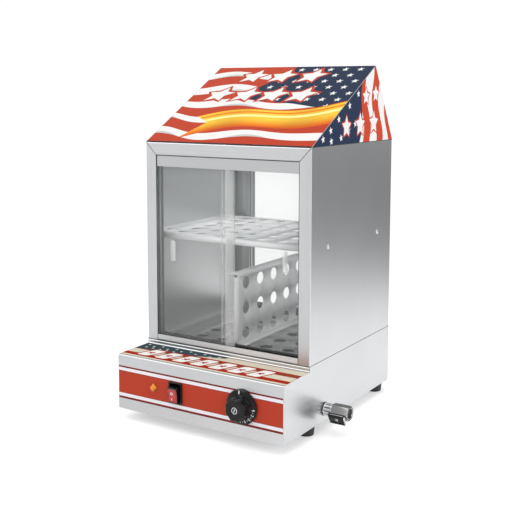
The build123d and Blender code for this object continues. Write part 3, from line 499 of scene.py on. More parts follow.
def build_printed_mottle():
    """Printed film: fine dots and broad shade vary the ink, and the shade sets roughness and height."""
    group, given, gives = node_group(
        "printed_mottle", [("Ink", "Color", (0.8, 0.8, 0.8, 1)), ("Mottle", "Float", 0.05)]
    )
    spot = object_spot(group)
    shade = noise(group, spot, 14.0, 3.0)
    total = maths(group, "ADD", noise(group, spot, 1400.0, 1.0), shade)
    swing = maths(group, "MULTIPLY", mapped(group, total, -1, 1, 0.6, 1.4), given["Mottle"])
    group.links.new(varied(group, given["Ink"], swing), gives["Color"])
    group.links.new(mapped(group, shade, 0.22, 0.36), gives["Roughness"])
    group.links.new(shade, gives["Height"])


def new_material(name):
    """Material with its node tree and its shader."""
    material = bpy.data.materials.new(name)
    material.use_nodes = True
    tree = material.node_tree
    return material, tree, tree.nodes["Principled BSDF"]


def add_effect(tree, shader, effect, bump, depth, values):
    """A shared group with its inputs set, whose colour, roughness and bump of a depth go to the shader."""
    group = tree.nodes.new("ShaderNodeGroup")
    group.node_tree = bpy.data.node_groups[effect]
    for key, value in values.items():
        group.inputs[key].default_value = value
    relief = shader_node(tree, "Bump", Strength=bump, Distance=depth, Height=group.outputs["Height"])
    tree.links.new(group.outputs["Color"], shader.inputs["Base Color"])
    tree.links.new(group.outputs["Roughness"], shader.inputs["Roughness"])
    tree.links.new(relief.outputs[0], shader.inputs["Normal"])
    return group.inputs


def brushed(name, rgb, along="x", grain=0.06, smooth=0.26, coarse=0.4, cloud=0.05, metallic=1.0):
    """Brushed metal whose grain runs along one axis: streaks are drawn out more than a hundred times."""
    tree, shader = new_material(name)[1:]
    values = {"Color": (*rgb, 1), "Grain": grain, "Cloud": cloud, "Smooth": smooth, "Coarse": coarse}
    given = add_effect(tree, shader, "brushed_grain", 0.12, 0.00005, values)
    pitch = [6.0 if axis == along else 700.0 for axis in "xyz"]
    streaks = shader_node(tree, "Mapping", Vector=object_spot(tree), Scale=pitch)
    tree.links.new(streaks.outputs[0], given["Vector"])
    shader.inputs["Metallic"].default_value = metallic


def moulded(name, rgb, smooth=0.28, coarse=0.42, wear=0.12, bump=0.1, alpha=1.0, coat=0.0, gloss=0.5):
    """Moulded plastic, rubber or glass."""
    tree, shader = new_material(name)[1:]
    values = {"Color": (*rgb, 1), "Wear": wear, "Smooth": smooth, "Coarse": coarse}
    add_effect(tree, shader, "moulded_skin", bump, 0.00004, values)
    shader.inputs["Alpha"].default_value = alpha
    shader.inputs["Coat Weight"].default_value = coat
    shader.inputs["Specular IOR Level"].default_value = gloss


def printed(name, mottle=0.05, gloss=0.2):
    """Printed film whose inks are in the mesh's "ink" attribute."""
    tree, shader = new_material(name)[1:]
    given = add_effect(tree, shader, "printed_mottle", 0.04, 0.0002, {"Mottle": mottle})
    ink = shader_node(tree, "Attribute", attribute_name="ink")
    tree.links.new(ink.outputs["Color"], given["Ink"])
    shader.inputs["Specular IOR Level"].default_value = gloss


def darker(rgb, share):
    """Colour times a share."""
    return tuple(v * share for v in rgb)


def build_metals(finish):
    """Sheet, tracks, fittings and screws."""
    steel, aluminium = finish.steel, finish.aluminium
    brushed("steel_across", steel, "x")
    brushed("steel_upright", steel, "z")
    brushed("steel_depth", steel, "y")
    brushed("steel_inside", tone(228, 229, 230), "z", grain=0.04, smooth=0.55, coarse=0.7, metallic=0.25)
    sill = tone(222, 223, 224)
    brushed("steel_sill", sill, "x", grain=0.03, smooth=0.5, coarse=0.6, cloud=0.02, metallic=0.7)
    brushed("steel_shelf", tone(244, 245, 246), "x", grain=0.03, smooth=0.42, coarse=0.55, metallic=0.3)
    brushed("steel_plate", darker(steel, 0.72), "x", grain=0.04)
    brushed("steel_tank", darker(steel, 0.6), "x", smooth=0.34, coarse=0.5, cloud=0.12)
    brushed("aluminium_track", aluminium, "x", grain=0.03, smooth=0.34, coarse=0.46, cloud=0.02)
    brushed("aluminium_channel", aluminium, "z", grain=0.03, smooth=0.34, coarse=0.46, cloud=0.02)
    brushed("chrome_fitting", finish.chrome, "x", grain=0.01, smooth=0.06, coarse=0.12, cloud=0.01)
    brushed("nickel_body", finish.nickel, "x", grain=0.04, smooth=0.17, coarse=0.26)
    brushed("lever_steel", tone(186, 187, 188), "x", grain=0.02, smooth=0.14, coarse=0.24, cloud=0.02)
    brushed("screw_steel", tone(246, 247, 248), "z", grain=0.02, smooth=0.05, coarse=0.1)
    brushed("brass_turned", tone(200, 168, 102), "x", grain=0.03, smooth=0.25, coarse=0.4)


def build_plastics(finish):
    """Controls, rubber and the dark lines of the joints."""
    moulded("knob_black", finish.black, smooth=0.14, coarse=0.22, gloss=0.28)
    moulded("grip_black", tone(24, 24, 25), smooth=0.24, coarse=0.34, gloss=0.26)
    moulded("switch_black", tone(13, 13, 14), smooth=0.2, coarse=0.3, gloss=0.35)
    moulded("disc_grey", tone(62, 66, 72), smooth=0.25, coarse=0.35)
    moulded("gasket_black", tone(42, 43, 44), smooth=0.5, coarse=0.65)
    moulded("track_black", tone(20, 21, 22), smooth=0.4, coarse=0.55, gloss=0.3)
    moulded("washer_grey", tone(74, 75, 76), smooth=0.5, coarse=0.65)
    moulded("foot_rubber", finish.rubber, smooth=0.55, coarse=0.75, wear=0.25, bump=0.25)
    moulded("pull_frosted", tone(232, 236, 234), smooth=0.42, coarse=0.55, wear=0.03, alpha=0.48)
    moulded("rocker_red", finish.rocker, smooth=0.16, coarse=0.24, wear=0.05, coat=0.4)
    moulded("rocker_dark", tone(134, 42, 34), smooth=0.24, coarse=0.34, wear=0.05, coat=0.2)
    moulded("lens_amber", finish.amber, smooth=0.08, coarse=0.16, wear=0.1, coat=0.6)
    moulded("lens_dark", tone(158, 78, 20), smooth=0.2, coarse=0.3, wear=0.1)
    moulded("lever_black", tone(12, 12, 13), smooth=0.32, coarse=0.42, gloss=0.25)
    moulded("white_moulded", tone(226, 226, 220), smooth=0.35, coarse=0.5)
    moulded("mark_white", tone(236, 236, 234), smooth=0.4, coarse=0.5, wear=0.03)
    # plug in the outlet: a darker grey for painted shade in the bore
    moulded("outlet_grey", tone(128, 128, 128), smooth=0.4, coarse=0.55)
    # painted shade for the floors of the socket's grooves
    moulded("flute_grey", tone(92, 93, 94), smooth=0.4, coarse=0.55)
    moulded("seam_dark", tone(58, 60, 62), smooth=0.6, coarse=0.75)


def build_glass(finish):
    """Panes, a strip of painted sheen at a pane's edge where the panes overlap, and the edges themselves."""
    veil = finish.glass_veil
    moulded("glass_pane", finish.glass, smooth=0.02, coarse=0.04, wear=0.02, bump=0.02, alpha=veil)
    # painted sheen: a pale veil that stands in for the lighter look where two panes overlap
    moulded("glass_tint", tone(246, 248, 247), smooth=0.4, coarse=0.5, wear=0.02, bump=0.02, alpha=0.19)
    moulded("glass_edge", tone(224, 232, 230), smooth=0.1, coarse=0.2, wear=0.02, bump=0.02, alpha=0.42)


def build_materials():
    """Every finish of the steamer, by name."""
    finish = settings()[1]
    build_brushed_grain()
    build_moulded_skin()
    build_printed_mottle()
    build_metals(finish)
    build_plastics(finish)
    build_glass(finish)
    printed("sign_film", gloss=0.08)
    printed("panel_film", mottle=0.03)
    printed("step_film", gloss=0.0)


def finish_of(name):
    """A finish by its name."""
    return bpy.data.materials[name]


def dress(material, *nodes):
    """Give frame nodes a finish."""
    for node in nodes:
        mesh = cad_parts[node].data
        mesh.materials.clear()
        mesh.materials.append(finish_of(material))


class Builder:
    """Shared by the operators: runs build(), which raises when it can't finish."""

    def execute(self, context):
        self.build()
        return {"FINISHED"}


# ---------------------------------------------------------------- sheet metal
class STEAMER_OT_sheets(Builder, bpy.types.Operator):
    """Make the finishes and give them to the pieces that keep the frame's own shape"""

    bl_idname = "steamer.sheets"
    bl_label = "Sheet Metal"

    def build(self):
        build_materials()
        dress("steel_across", "base_front_panel", "base_rear_panel")
        dress("steel_across", "roof_panel", "sign_front_panel", "sign_back_panel")
        dress("steel_sill", "sill_front", "sill_rear")
        dress("steel_depth", "base_side_left", "base_side_right", "deck_plate")
        dress("steel_depth", "sign_gable_left", "sign_gable_right")
        dress("steel_upright", "cabinet_side_left", "cabinet_side_right")
        dress("steel_inside", "shelf_brackets")
        dress("steel_tank", "tank_bottom", "tank_walls", "tank_ends", "base_bottom_plate", "heating_element")
        dress("aluminium_track", "track_upper_front", "track_upper_rear")
        dress("aluminium_channel", "door_channels_front", "door_channels_rear")
        dress("track_black", "track_lower_front", "track_lower_rear")
        dress("screw_steel", "thermostat_shaft", "shelf_nuts", "feet_screws")
        dress("white_moulded", "thermostat_body", "terminal_block")
        dress("brass_turned", "thermostat_bulb", "tank_nuts")
        dress("switch_black", "thermal_cutout")
        dress("chrome_fitting", "valve_plug")


class STEAMER_OT_seams(Builder, bpy.types.Operator):
    """Dark lines in the joints between the sheets"""

    bl_idname = "steamer.seams"
    bl_label = "Seams"

    def build(self):
        half = settings()[2].seam / MM / 2
        runs = self.doorway(0.0, -1, POST, RAIL) + self.doorway(CAB_D, 1, REAR_POST, REAR_RAIL) + self.sides()
        bars = [self.bar(start, end, np.array(out, float), half) for start, end, out in runs]
        make_piece("sheet_seams", joined(*bars), "cabinet", "black_gasket", "seam_dark", smooth=0)

    def doorway(self, y, outward, post, rail):
        """Joints of a cabinet face as (start, end, outward): mitres, posts, rail, deck and roof."""
        out = (0, outward, 0)
        inner, under_rail = HALF - post, Z_TOP - rail
        corner = 1.2  # how far a mitre stops short of the rounded edge
        runs = []
        for hand in (-1, 1):
            mitre_end = (hand * (HALF - corner), y, Z_TOP - corner * rail / post)
            runs.append(((hand * inner, y, under_rail), mitre_end, out))
            runs.append(((hand * inner, y, Z_DECK + 0.5), (hand * inner, y, under_rail), out))
            runs.append(((hand, y, Z_TOP), (hand * (HALF - 1), y, Z_TOP), out))
        runs.append(((-inner, y, under_rail), (inner, y, under_rail), out))
        runs.append(((-HALF, y, Z_DECK), (HALF, y, Z_DECK), out))
        return runs

    def sides(self):
        """Joints of both cabinet sides with the base below and the sign above."""
        return [
            ((hand * HALF, 0.0, z), (hand * HALF, CAB_D, z), (hand, 0, 0))
            for hand in (-1, 1)
            for z in (Z_DECK, Z_TOP)
        ]

    def bar(self, start, end, out, half):
        """Box from start to end, half wide to either side, a little proud of the sheet and let into it."""
        proud, depth = 0.05, 0.6
        start, end = np.array(start, float), np.array(end, float)
        side = np.cross((end - start) / np.linalg.norm(end - start), out) * half
        ring = np.array([side + out * proud, out * proud - side, -side - out * depth, side - out * depth])
        return np.concatenate([start + ring, end + ring]), closed_tube(2, 4)


class STEAMER_OT_interior(Builder, bpy.types.Operator):
    """Shelf, steam plate and divider with round holes and folded edges"""

    bl_idname = "steamer.interior"
    bl_label = "Shelf, Plate and Divider"

    def build(self):
        self.divider()
        self.shelf()
        self.plate()

    def divider(self):
        """Flat pattern bent along its fold line: (s, y) goes to (x(s), y, z(s))."""
        low, high = part_box("divider_plate")
        front, back, floor, top = low[1], high[1], low[2], high[2] - SHEET
        foot, flange, front_flange = 12.0, 16.0, 7.0
        line = fold_line([(foot, floor), (0, floor), (0, top), (-flange, top)], BEND)
        outline = [(0, front), (line[-1, 0], front), (line[-1, 0], back), (0, back)]
        web = foot - BEND + BEND * math.pi / 2  # length at which the upright part starts
        middle = web + (top - floor - 2 * BEND) / 2
        holes = [
            circle(STEAM_HOLE, 48, (middle + row * HOLE_PITCH, (front + back) / 2 + column * HOLE_PITCH_Y))
            for column in range(-2, 3)
            for row in (-1, 0, 1)
        ]
        flat, faces = cut_sheet(outline, holes, [((s, front), (s, back)) for s in line[1:-1, 0]])
        across = np.interp(flat[:, 0], line[:, 0], line[:, 1])
        up = np.interp(flat[:, 0], line[:, 0], line[:, 2])
        shape = (np.stack([across, flat[:, 1], up], axis=1), faces[:, ::-1])
        steel = "steel_inside"
        make_piece("divider_sheet", shape, "divider", "stainless", steel, ["divider_plate"], solid=-SHEET)
        z = (floor + 2 * BEND, top - 2 * BEND)
        fold = prism([(-front_flange, z[0]), (0, z[0]), (0, z[1]), (-front_flange, z[1])], -SHEET, 0)
        edge = axes((0, front, 0), (1, 0, 0), (0, 0, 1))
        make_piece("divider_front_fold", moved(edge, fold), "divider", "stainless", steel, bevel=0.3)

    def shelf(self):
        """Flat pattern with four flaps: beyond a fold the sheet turns down along a quarter circle."""
        low, high = part_box("bun_shelf")
        half_x, half_y, middle_y = (high[0] - low[0]) / 2, (high[1] - low[1]) / 2, (low[1] + high[1]) / 2
        drop = 8.6
        quarter = BEND * math.pi / 2
        flap = drop - BEND + quarter  # flat length of a flap beyond the start of its bend
        x, y = half_x - BEND, half_y - BEND
        outline = [
            (-x, -y - flap), (x, -y - flap), (x, -y), (x + flap, -y), (x + flap, y), (x, y),
            (x, y + flap), (-x, y + flap), (-x, y), (-x - flap, y), (-x - flap, -y), (-x, -y),
        ]
        holes = [
            circle(SHELF_HOLE, 40, (SHELF_PITCH * (i - 3), SHELF_PITCH * (j - 2.5)))
            for i in range(7)
            for j in range(6)
        ]
        for hand in (-1, 1):  # notches that clear the shelf screws
            for screw in (-87.7, 86.7):
                near, far = sorted((hand * (half_x - 3.9), hand * (x + flap + 1)))
                holes.append([(near, screw - 5), (far, screw - 5), (far, screw + 5), (near, screw + 5)])
        turns = np.linspace(0, quarter, 6)
        lines = [((-x, s * (y + t)), (x, s * (y + t))) for t in turns for s in (-1, 1)]
        lines += [((s * (x + t), -y), (s * (x + t), y)) for t in turns for s in (-1, 1)]
        flat, faces = cut_sheet(outline, holes, lines)

        def folded(value, start):
            """Place across and drop of a flat place: r sin a and r (1 - cos a) on the bend, then down."""
            beyond = np.clip(np.abs(value) - start, 0, None)
            angle = np.clip(beyond / BEND, 0, math.pi / 2)
            down = BEND * (1 - np.cos(angle)) + np.clip(beyond - quarter, 0, None)
            return np.sign(value) * (np.minimum(np.abs(value), start) + BEND * np.sin(angle)), down

        across, down_x = folded(flat[:, 0], x)
        along, down_y = folded(flat[:, 1], y)
        points = np.stack([across, along + middle_y, high[2] - down_x - down_y], axis=1)
        tray = (points, faces)
        make_piece("shelf_tray", tray, "shelf", "deep_stainless", "steel_shelf", ["bun_shelf"], solid=SHEET)

    def plate(self):
        """Flat rounded rectangle with five rows of five round holes."""
        low, high = part_box("steam_plate")
        middle_y = (low[1] + high[1]) / 2
        outline = rounded_box(2 * high[0], high[1] - low[1], 3.0) + [0, middle_y]
        holes = [
            circle(STEAM_HOLE, 40, (HOLE_PITCH * i, CAB_D / 2 + HOLE_PITCH_Y * j))
            for i in range(-2, 3)
            for j in range(-2, 3)
        ]
        flat, faces = cut_sheet(outline, holes)
        sheet = (np.c_[flat, np.full(len(flat), high[2])], faces)
        node, body, slot = "steam_plate", "steam_floor", "deep_stainless"
        make_piece("steam_floor_sheet", sheet, body, slot, "steel_plate", [node], solid=0.95)


# ---------------------------------------------------------------- doors
class STEAMER_OT_doors(Builder, bpy.types.Operator):
    """Glass panes with polished edges and frosted finger pulls"""

    bl_idname = "steamer.doors"
    bl_label = "Glass Doors"

    def build(self):
        for end in ("front", "rear"):
            for side in ("left", "right"):
                self.pane(f"{end}_{side}")
                self.pull(f"{end}_{side}", -1 if end == "front" else 1, side)

    def pane(self, which):
        """Rounded rectangle carried through the glass thickness, with its edges in their own finish."""
        low, high = part_box(f"glass_{which}")
        width, thick, tall = high - low
        cut = 0.6  # of the polished edges
        outline = rounded_box(width, tall, 2.0, 4)
        profile = np.array([(cut, 0.0), (0.0, cut), (0.0, thick - cut), (cut, thick)])
        rings = outline[None] * (1 - 2 * profile[:, :1, None] / np.array([width, tall]))
        w = np.repeat(profile[:, 1] - thick / 2, len(outline))
        shape = (np.c_[rings.reshape(-1, 2), w], closed_tube(len(profile), len(outline)))
        to_part = axes((high + low) / 2, (1, 0, 0), (0, 0, 1))
        pane = make_piece(
            f"pane_{which}", moved(to_part, shape), f"door_{which}", "glass", ["glass_edge", "glass_pane"],
            [f"glass_{which}"], smooth=0,
        )
        for face in pane.data.polygons:
            face.material_index = 1 if len(face.vertices) > 4 else 0
        # The pale strip near the inner edge paints the lighter sheen where the front panes overlap.
        if which == "front_left":
            strip = rounded_box(14.0, tall - 2.0, 1.0, 3) + [width / 2 - 8.2, 0]
            overlap_sheen = moved(to_part, prism(strip, thick / 2 + 0.02, thick / 2 + 0.12))
            make_piece("pane_overlap_painted_sheen", overlap_sheen, "door_front_left", "glass", "glass_tint", smooth=0)

    def pull(self, which, out, side):
        """Finger strip: cross section y(x) with a rounded lip, its outer edge waved along z by a sine."""
        low, high = part_box(f"pull_{which}")
        width, depth, tall = high - low
        plate = 1.1  # thickness beside the lip
        lip = np.clip(np.sin(np.linspace(0, math.pi, 13)), 0, None) ** 0.5
        x = np.linspace(-1, 1, 13) * width / 2
        ridge = plate + (depth - plate) * np.exp(-(((x / width - 0.28) / 0.16) ** 2))
        section = np.concatenate([np.stack([x, lip * ridge], axis=1), [[width / 2, 0.0], [-width / 2, 0.0]]])
        z = np.linspace(-1, 1, 41)
        taper = np.sqrt(np.clip(1 - np.clip((np.abs(z) - 0.9) / 0.1, 0, 1) ** 2, 0.02, 1))[:, None]
        wave = (0.9 * np.sin(z * 5.5) if side == "right" else 0.25 * np.sin(z * 4.0))[:, None] * 0.5
        across, outwards = section[None, :, 0], section[None, :, 1]
        grid = np.zeros((len(z), len(section), 3))
        grid[:, :, 0] = across * (0.86 + 0.14 * taper) + np.where(across > 0, 1, 0) * wave
        grid[:, :, 0] = np.clip(grid[:, :, 0], -width / 2, width / 2)
        grid[:, :, 1] = outwards * taper
        grid[:, :, 2] = z[:, None] * tall / 2
        hand = -1 if (side == "left") == (out < 0) else 1
        middle = (low + high) / 2
        middle[1] = high[1] if out < 0 else low[1]
        strip = (grid.reshape(-1, 3) * [hand, out, 1] + middle, closed_tube(len(z), len(section)))
        node, slot = f"pull_{which}", "frosted_pull"
        make_piece(f"finger_pull_{which}", strip, f"door_{which}", slot, "pull_frosted", [node], smooth=35)


# ---------------------------------------------------------------- controls
class STEAMER_OT_knob(Builder, bpy.types.Operator):
    """Thermostat knob with its scalloped grip, pointer, numbers and cap"""

    bl_idname = "steamer.knob"
    bl_label = "Thermostat Knob"

    def build(self):
        at = on_panel(*DIAL)
        self.skirt(at)
        self.grip(at)
        self.cap(at)
        self.marks(at)

    def skirt(self, at):
        """Turned disc whose front slopes from the rim up to the grip."""
        profile = [
            (0, 1.0), (24.5, 1.0), (25.6, 1.3), (26, 2.0), (25.9, 2.6), (25.2, 3.1),
            (24, 3.5), (19.5, 5.0), (17.5, 5.3), (16.4, 5.4), (0, 5.4),
        ]
        disc = moved(at, revolved(profile, 96))
        node, slot = "thermostat_knob", "black_knob"
        make_piece("knob_skirt", disc, "thermostat_dial", slot, "knob_black", [node], smooth=40)

    def grip(self, at):
        """Radius swings eight times round: r(w) (1 - depth(w) ((1 + cos 8t) / 2) ^ 1.4), deepest low down."""
        foot, tall, flat_from = 5.2, 16.2, 21.44
        s = np.linspace(0, 1, 33)
        rim = np.clip((s - 0.86) / 0.14, 0, 1)
        r = 18.3 - 1.2 * s - 3.2 * (1 - np.sqrt(1 - rim**2))
        face = np.array([(14.0, 21.45), (12.0, 21.5), (9.0, 21.2), (7.4, 20.8), (6.0, 20.7), (0, 20.7)])
        profile = np.concatenate([[(0, foot)], np.stack([r, foot + tall * s], axis=1), face])

        def lobes(t, w):
            """Share of the radius that the ribs leave, full at the flat face and at the very foot."""
            depth = 0.17 * np.clip((22.2 - w) / 6.0, 0.5, 1) * np.clip((w - 4.9) / 1.5, 0, 1)
            return 1 - depth * np.clip(0.5 + 0.5 * np.cos(8 * t), 0, 1) ** 1.4 * (w < flat_from)

        grip = moved(at, revolved(profile, 192, lobes))
        make_piece("knob_grip", grip, "thermostat_dial", "black_knob", "grip_black", smooth=50)

    def cap(self, at):
        """Small disc with a bright rim and a bar across its dark middle."""
        profile = [
            (0, 19.8), (4.9, 19.8), (5.0, 20.9), (4.8, 21.4),
            (4.4, 21.55), (4.0, 21.5), (3.9, 21.2), (0, 21.2),
        ]
        disc = moved(at, revolved(profile, 48))
        make_piece("knob_disc", disc, "thermostat_dial", "chrome", "chrome_fitting", ["knob_cap"], smooth=40)
        inlay = moved(at, prism(circle(3.85, 40), 21.15, 21.35))
        make_piece("knob_disc_inlay", inlay, "thermostat_dial", "black_knob", "disc_grey", smooth=0)
        leaned = rounded_box(1.3, 6.4, 0.5) @ np.array([[0.9, -0.44], [0.44, 0.9]])
        bar = moved(at, prism(leaned, 21.3, 21.55))
        make_piece("knob_disc_bar", bar, "thermostat_dial", "chrome", "screw_steel", smooth=0)

    def marks(self, at):
        """Pointer at the top and numbers from three to six o'clock on the slope of the skirt."""
        slope = math.atan2(1.5, 4.5)
        away = np.array([-0.14, 0.99, 0.0])
        down = [0, 0, math.sin(slope)]
        tilt = axes(away * 21.9 + [0, 0, 4.15], (0.99, 0.14, 0), away * math.cos(slope) - down)
        parts = [moved(tilt, prism(rounded_box(1.6, 5.0, 0.5), 0, 0.25))]
        for n in range(9):
            turn = math.radians(-2 - 11.2 * n)
            outward = np.array([math.cos(turn), math.sin(turn), 0.0])
            clockwise = np.array([math.sin(turn), -math.cos(turn), 0.0])
            tick = prism(rounded_box(0.7, 1.8, 0.3, 3), 0, 0.2)
            mark = tick if n % 2 else text_shape(str(9 - n), 4.2, 0.2)
            spot = outward * 21.0 + [0, 0, 4.6]
            parts.append(moved(axes(spot, clockwise, outward * math.cos(slope) - down), mark))
        marks = moved(at, joined(*parts))
        make_piece("knob_marks", marks, "thermostat_dial", "white_plastic", "mark_white", smooth=0)


def text_shape(label, height, thickness):
    """A short label as a mesh centred on its own middle, extruded upwards from w = 0."""
    capital = 0.7  # height of a capital as a share of the type size
    curve = bpy.data.curves.new("label", "FONT")
    curve.body, curve.size = label, height / capital
    curve.extrude, curve.offset = thickness / 2, height * 0.02
    holder = bpy.data.objects.new("label", curve)
    mesh = bpy.data.meshes.new_from_object(holder)
    points = np.zeros(len(mesh.vertices) * 3)
    mesh.vertices.foreach_get("co", points)
    points = points.reshape(-1, 3)
    points -= (points.min(0) + points.max(0)) / 2
    points[:, 2] += thickness / 2
    faces = [list(p.vertices) for p in mesh.polygons]
    bpy.data.objects.remove(holder)
    bpy.data.curves.remove(curve)
    bpy.data.meshes.remove(mesh)
    return points, faces


class STEAMER_OT_switch(Builder, bpy.types.Operator):
    """Rocker switch with its bezel and marks, and the indicator lamp"""

    bl_idname = "steamer.switch"
    bl_label = "Switch and Lamp"

    def build(self):
        self.bezel()
        self.rocker()
        self.lamp()

    def bezel(self):
        """Rounded rectangle carried along a section that steps from the outer rim into the pocket."""
        at = on_panel(*SWITCH)
        section = [  # half width, half height, w, corner radius
            (12.5, 16.75, 0.05, 1.5), (12.5, 16.75, 1.5, 1.5), (12.2, 16.4, 2.2, 1.4), (11.6, 15.9, 2.5, 1.2),
            (10.2, 15.1, 2.5, 1.0), (9.5, 14.5, 2.1, 0.7), (9.25, 14.25, 1.4, 0.6), (9.25, 14.25, -14.9, 0.6),
        ]
        rim, faces = boxes_stack([(a, b, r, 0, 0, w) for a, b, w, r in section])
        rim_faces = faces[:-2] + [faces[-1][::-1]]
        shell, shell_faces = prism(rounded_box(20.5, 30.5, 0.8), -17.0, 0.0)
        tabs = [
            prism(rounded_box(1.0, 6.0, 0.2, 2) + [x, z], -25.0, -16.9)
            for x in (-4.6, 4.6)
            for z in (-7.1, 7.1)
        ]
        bezel = moved(at, joined((rim, rim_faces), (shell, shell_faces[:-1]), *tabs))
        node, slot = "switch_housing", "black_switch"
        make_piece("switch_bezel", bezel, "cabinet", slot, "switch_black", [node], smooth=35)

    def rocker(self):
        """Side view with a hollow front, y = -(reach - hollow) - hollow (z / half)^2, carried across."""
        tilt = math.radians(8)
        reach, hollow, half, across = 9.3, 1.7, 11.5, 8.7
        pivot = np.array([SWITCH[0], Y_PANEL - 1.0, SWITCH[1] - 0.4])
        turn = np.array([[math.cos(tilt), math.sin(tilt)], [-math.sin(tilt), math.cos(tilt)]])
        side = axes(pivot, (0, 1, 0), (0, 0, 1))

        def front(z):
            """Depth of the front at a height, from the pivot."""
            return hollow - reach - hollow * (z / half) ** 2

        def slab(top, width, proud, depth):
            """Piece of the front between -top and top, from proud of it to depth behind it."""
            z = np.linspace(top, -top, 17)
            outer = np.stack([front(z) - proud, z], axis=1)
            inner = np.stack([front(z) + depth, z], axis=1)[::-1]
            return moved(side, prism(np.concatenate([outer, inner]) @ turn, -width, width))

        z = np.linspace(half, -half, 17)
        back = [(1.5, -half), (7.0, -5.0), (7.0, 5.0), (1.5, half)]
        line = np.concatenate([np.stack([front(z), z], axis=1), back])
        body = moved(side, prism(line @ turn, -across, across))
        window = slab(half - 0.5, across - 0.3, 0.15, 0.9)
        pad = slab(half - 2.9, across - 2.5, 0.35, 0.4)
        on, red = "power_rocker", "red_rocker"
        make_piece("rocker_body", body, on, "black_switch", "switch_black", smooth=35, bevel=0.7, segments=3)
        make_piece("rocker_window", window, on, red, "rocker_dark", ["switch_rocker"], smooth=35, bevel=0.2)
        make_piece("rocker_pad", pad, on, red, "rocker_red", smooth=35, bevel=0.3)
        up = np.array([0, -math.sin(tilt), math.cos(tilt)])
        out = np.array([0, -math.cos(tilt), -math.sin(tilt)])
        ring = revolved([(2.3, 0.0), (2.3, 0.2), (1.3, 0.2), (1.3, 0.0), (2.3, 0.0)], 32)
        bar = prism(rounded_box(0.9, 3.4, 0.3), 0, 0.2)
        marks = []
        for height, mark in ((2.6, ring), (-6.2, bar)):
            lean = 2 * hollow * height / half**2
            spot = pivot + up * height - out * (front(height) - 0.36) + [-0.9, 0, 0]
            marks.append(moved(axes(spot, (1, 0, 0), up * math.cos(lean) + out * math.sin(lean)), mark))
        make_piece("rocker_marks", joined(*marks), on, "white_plastic", "mark_white", smooth=0)

    def lamp(self):
        """Cut jewel on a square foot: squares stand on their corners and shrink forwards in steps."""
        at = on_panel(*LAMP)
        square = np.array([(0.0, -1.0), (1.0, 0.0), (0.0, 1.0), (-1.0, 0.0)])
        rings = [np.c_[square * r, np.full(4, w)] for r, w in ((7.7, 0.05), (7.9, 0.6), (7.3, 1.1))]
        foot = moved(at, (np.concatenate(rings), closed_tube(3, 4)))
        tip = 6.5
        rings = []
        for radius, w, corner in ((6.3, 1.05, 1.0), (6.3, 2.4, 1.0), (4.9, 4.6, 0.9), (2.8, 6.4, 0.8)):
            t = np.arange(8) * math.pi / 4 + math.pi / 2
            r = np.where(np.arange(8) % 2 == 0, radius, radius * (0.7071 + 0.29 * (1 - corner)))
            rings.append(np.stack([r * np.cos(t), r * np.sin(t), np.full(8, w)], axis=1))
        rings.append(np.tile([[0, 0, tip]], (8, 1)))
        jewel = moved(at, (np.concatenate(rings), closed_tube(5, 8)[:-1]))
        slot, edge = "amber_lens", {"bevel": 0.15, "segments": 1}
        make_piece("lamp_jewel", jewel, "cabinet", slot, "lens_amber", ["lamp_lens"], smooth=0, **edge)
        make_piece("lamp_foot", foot, "cabinet", slot, "lens_dark", ["lamp_housing"])


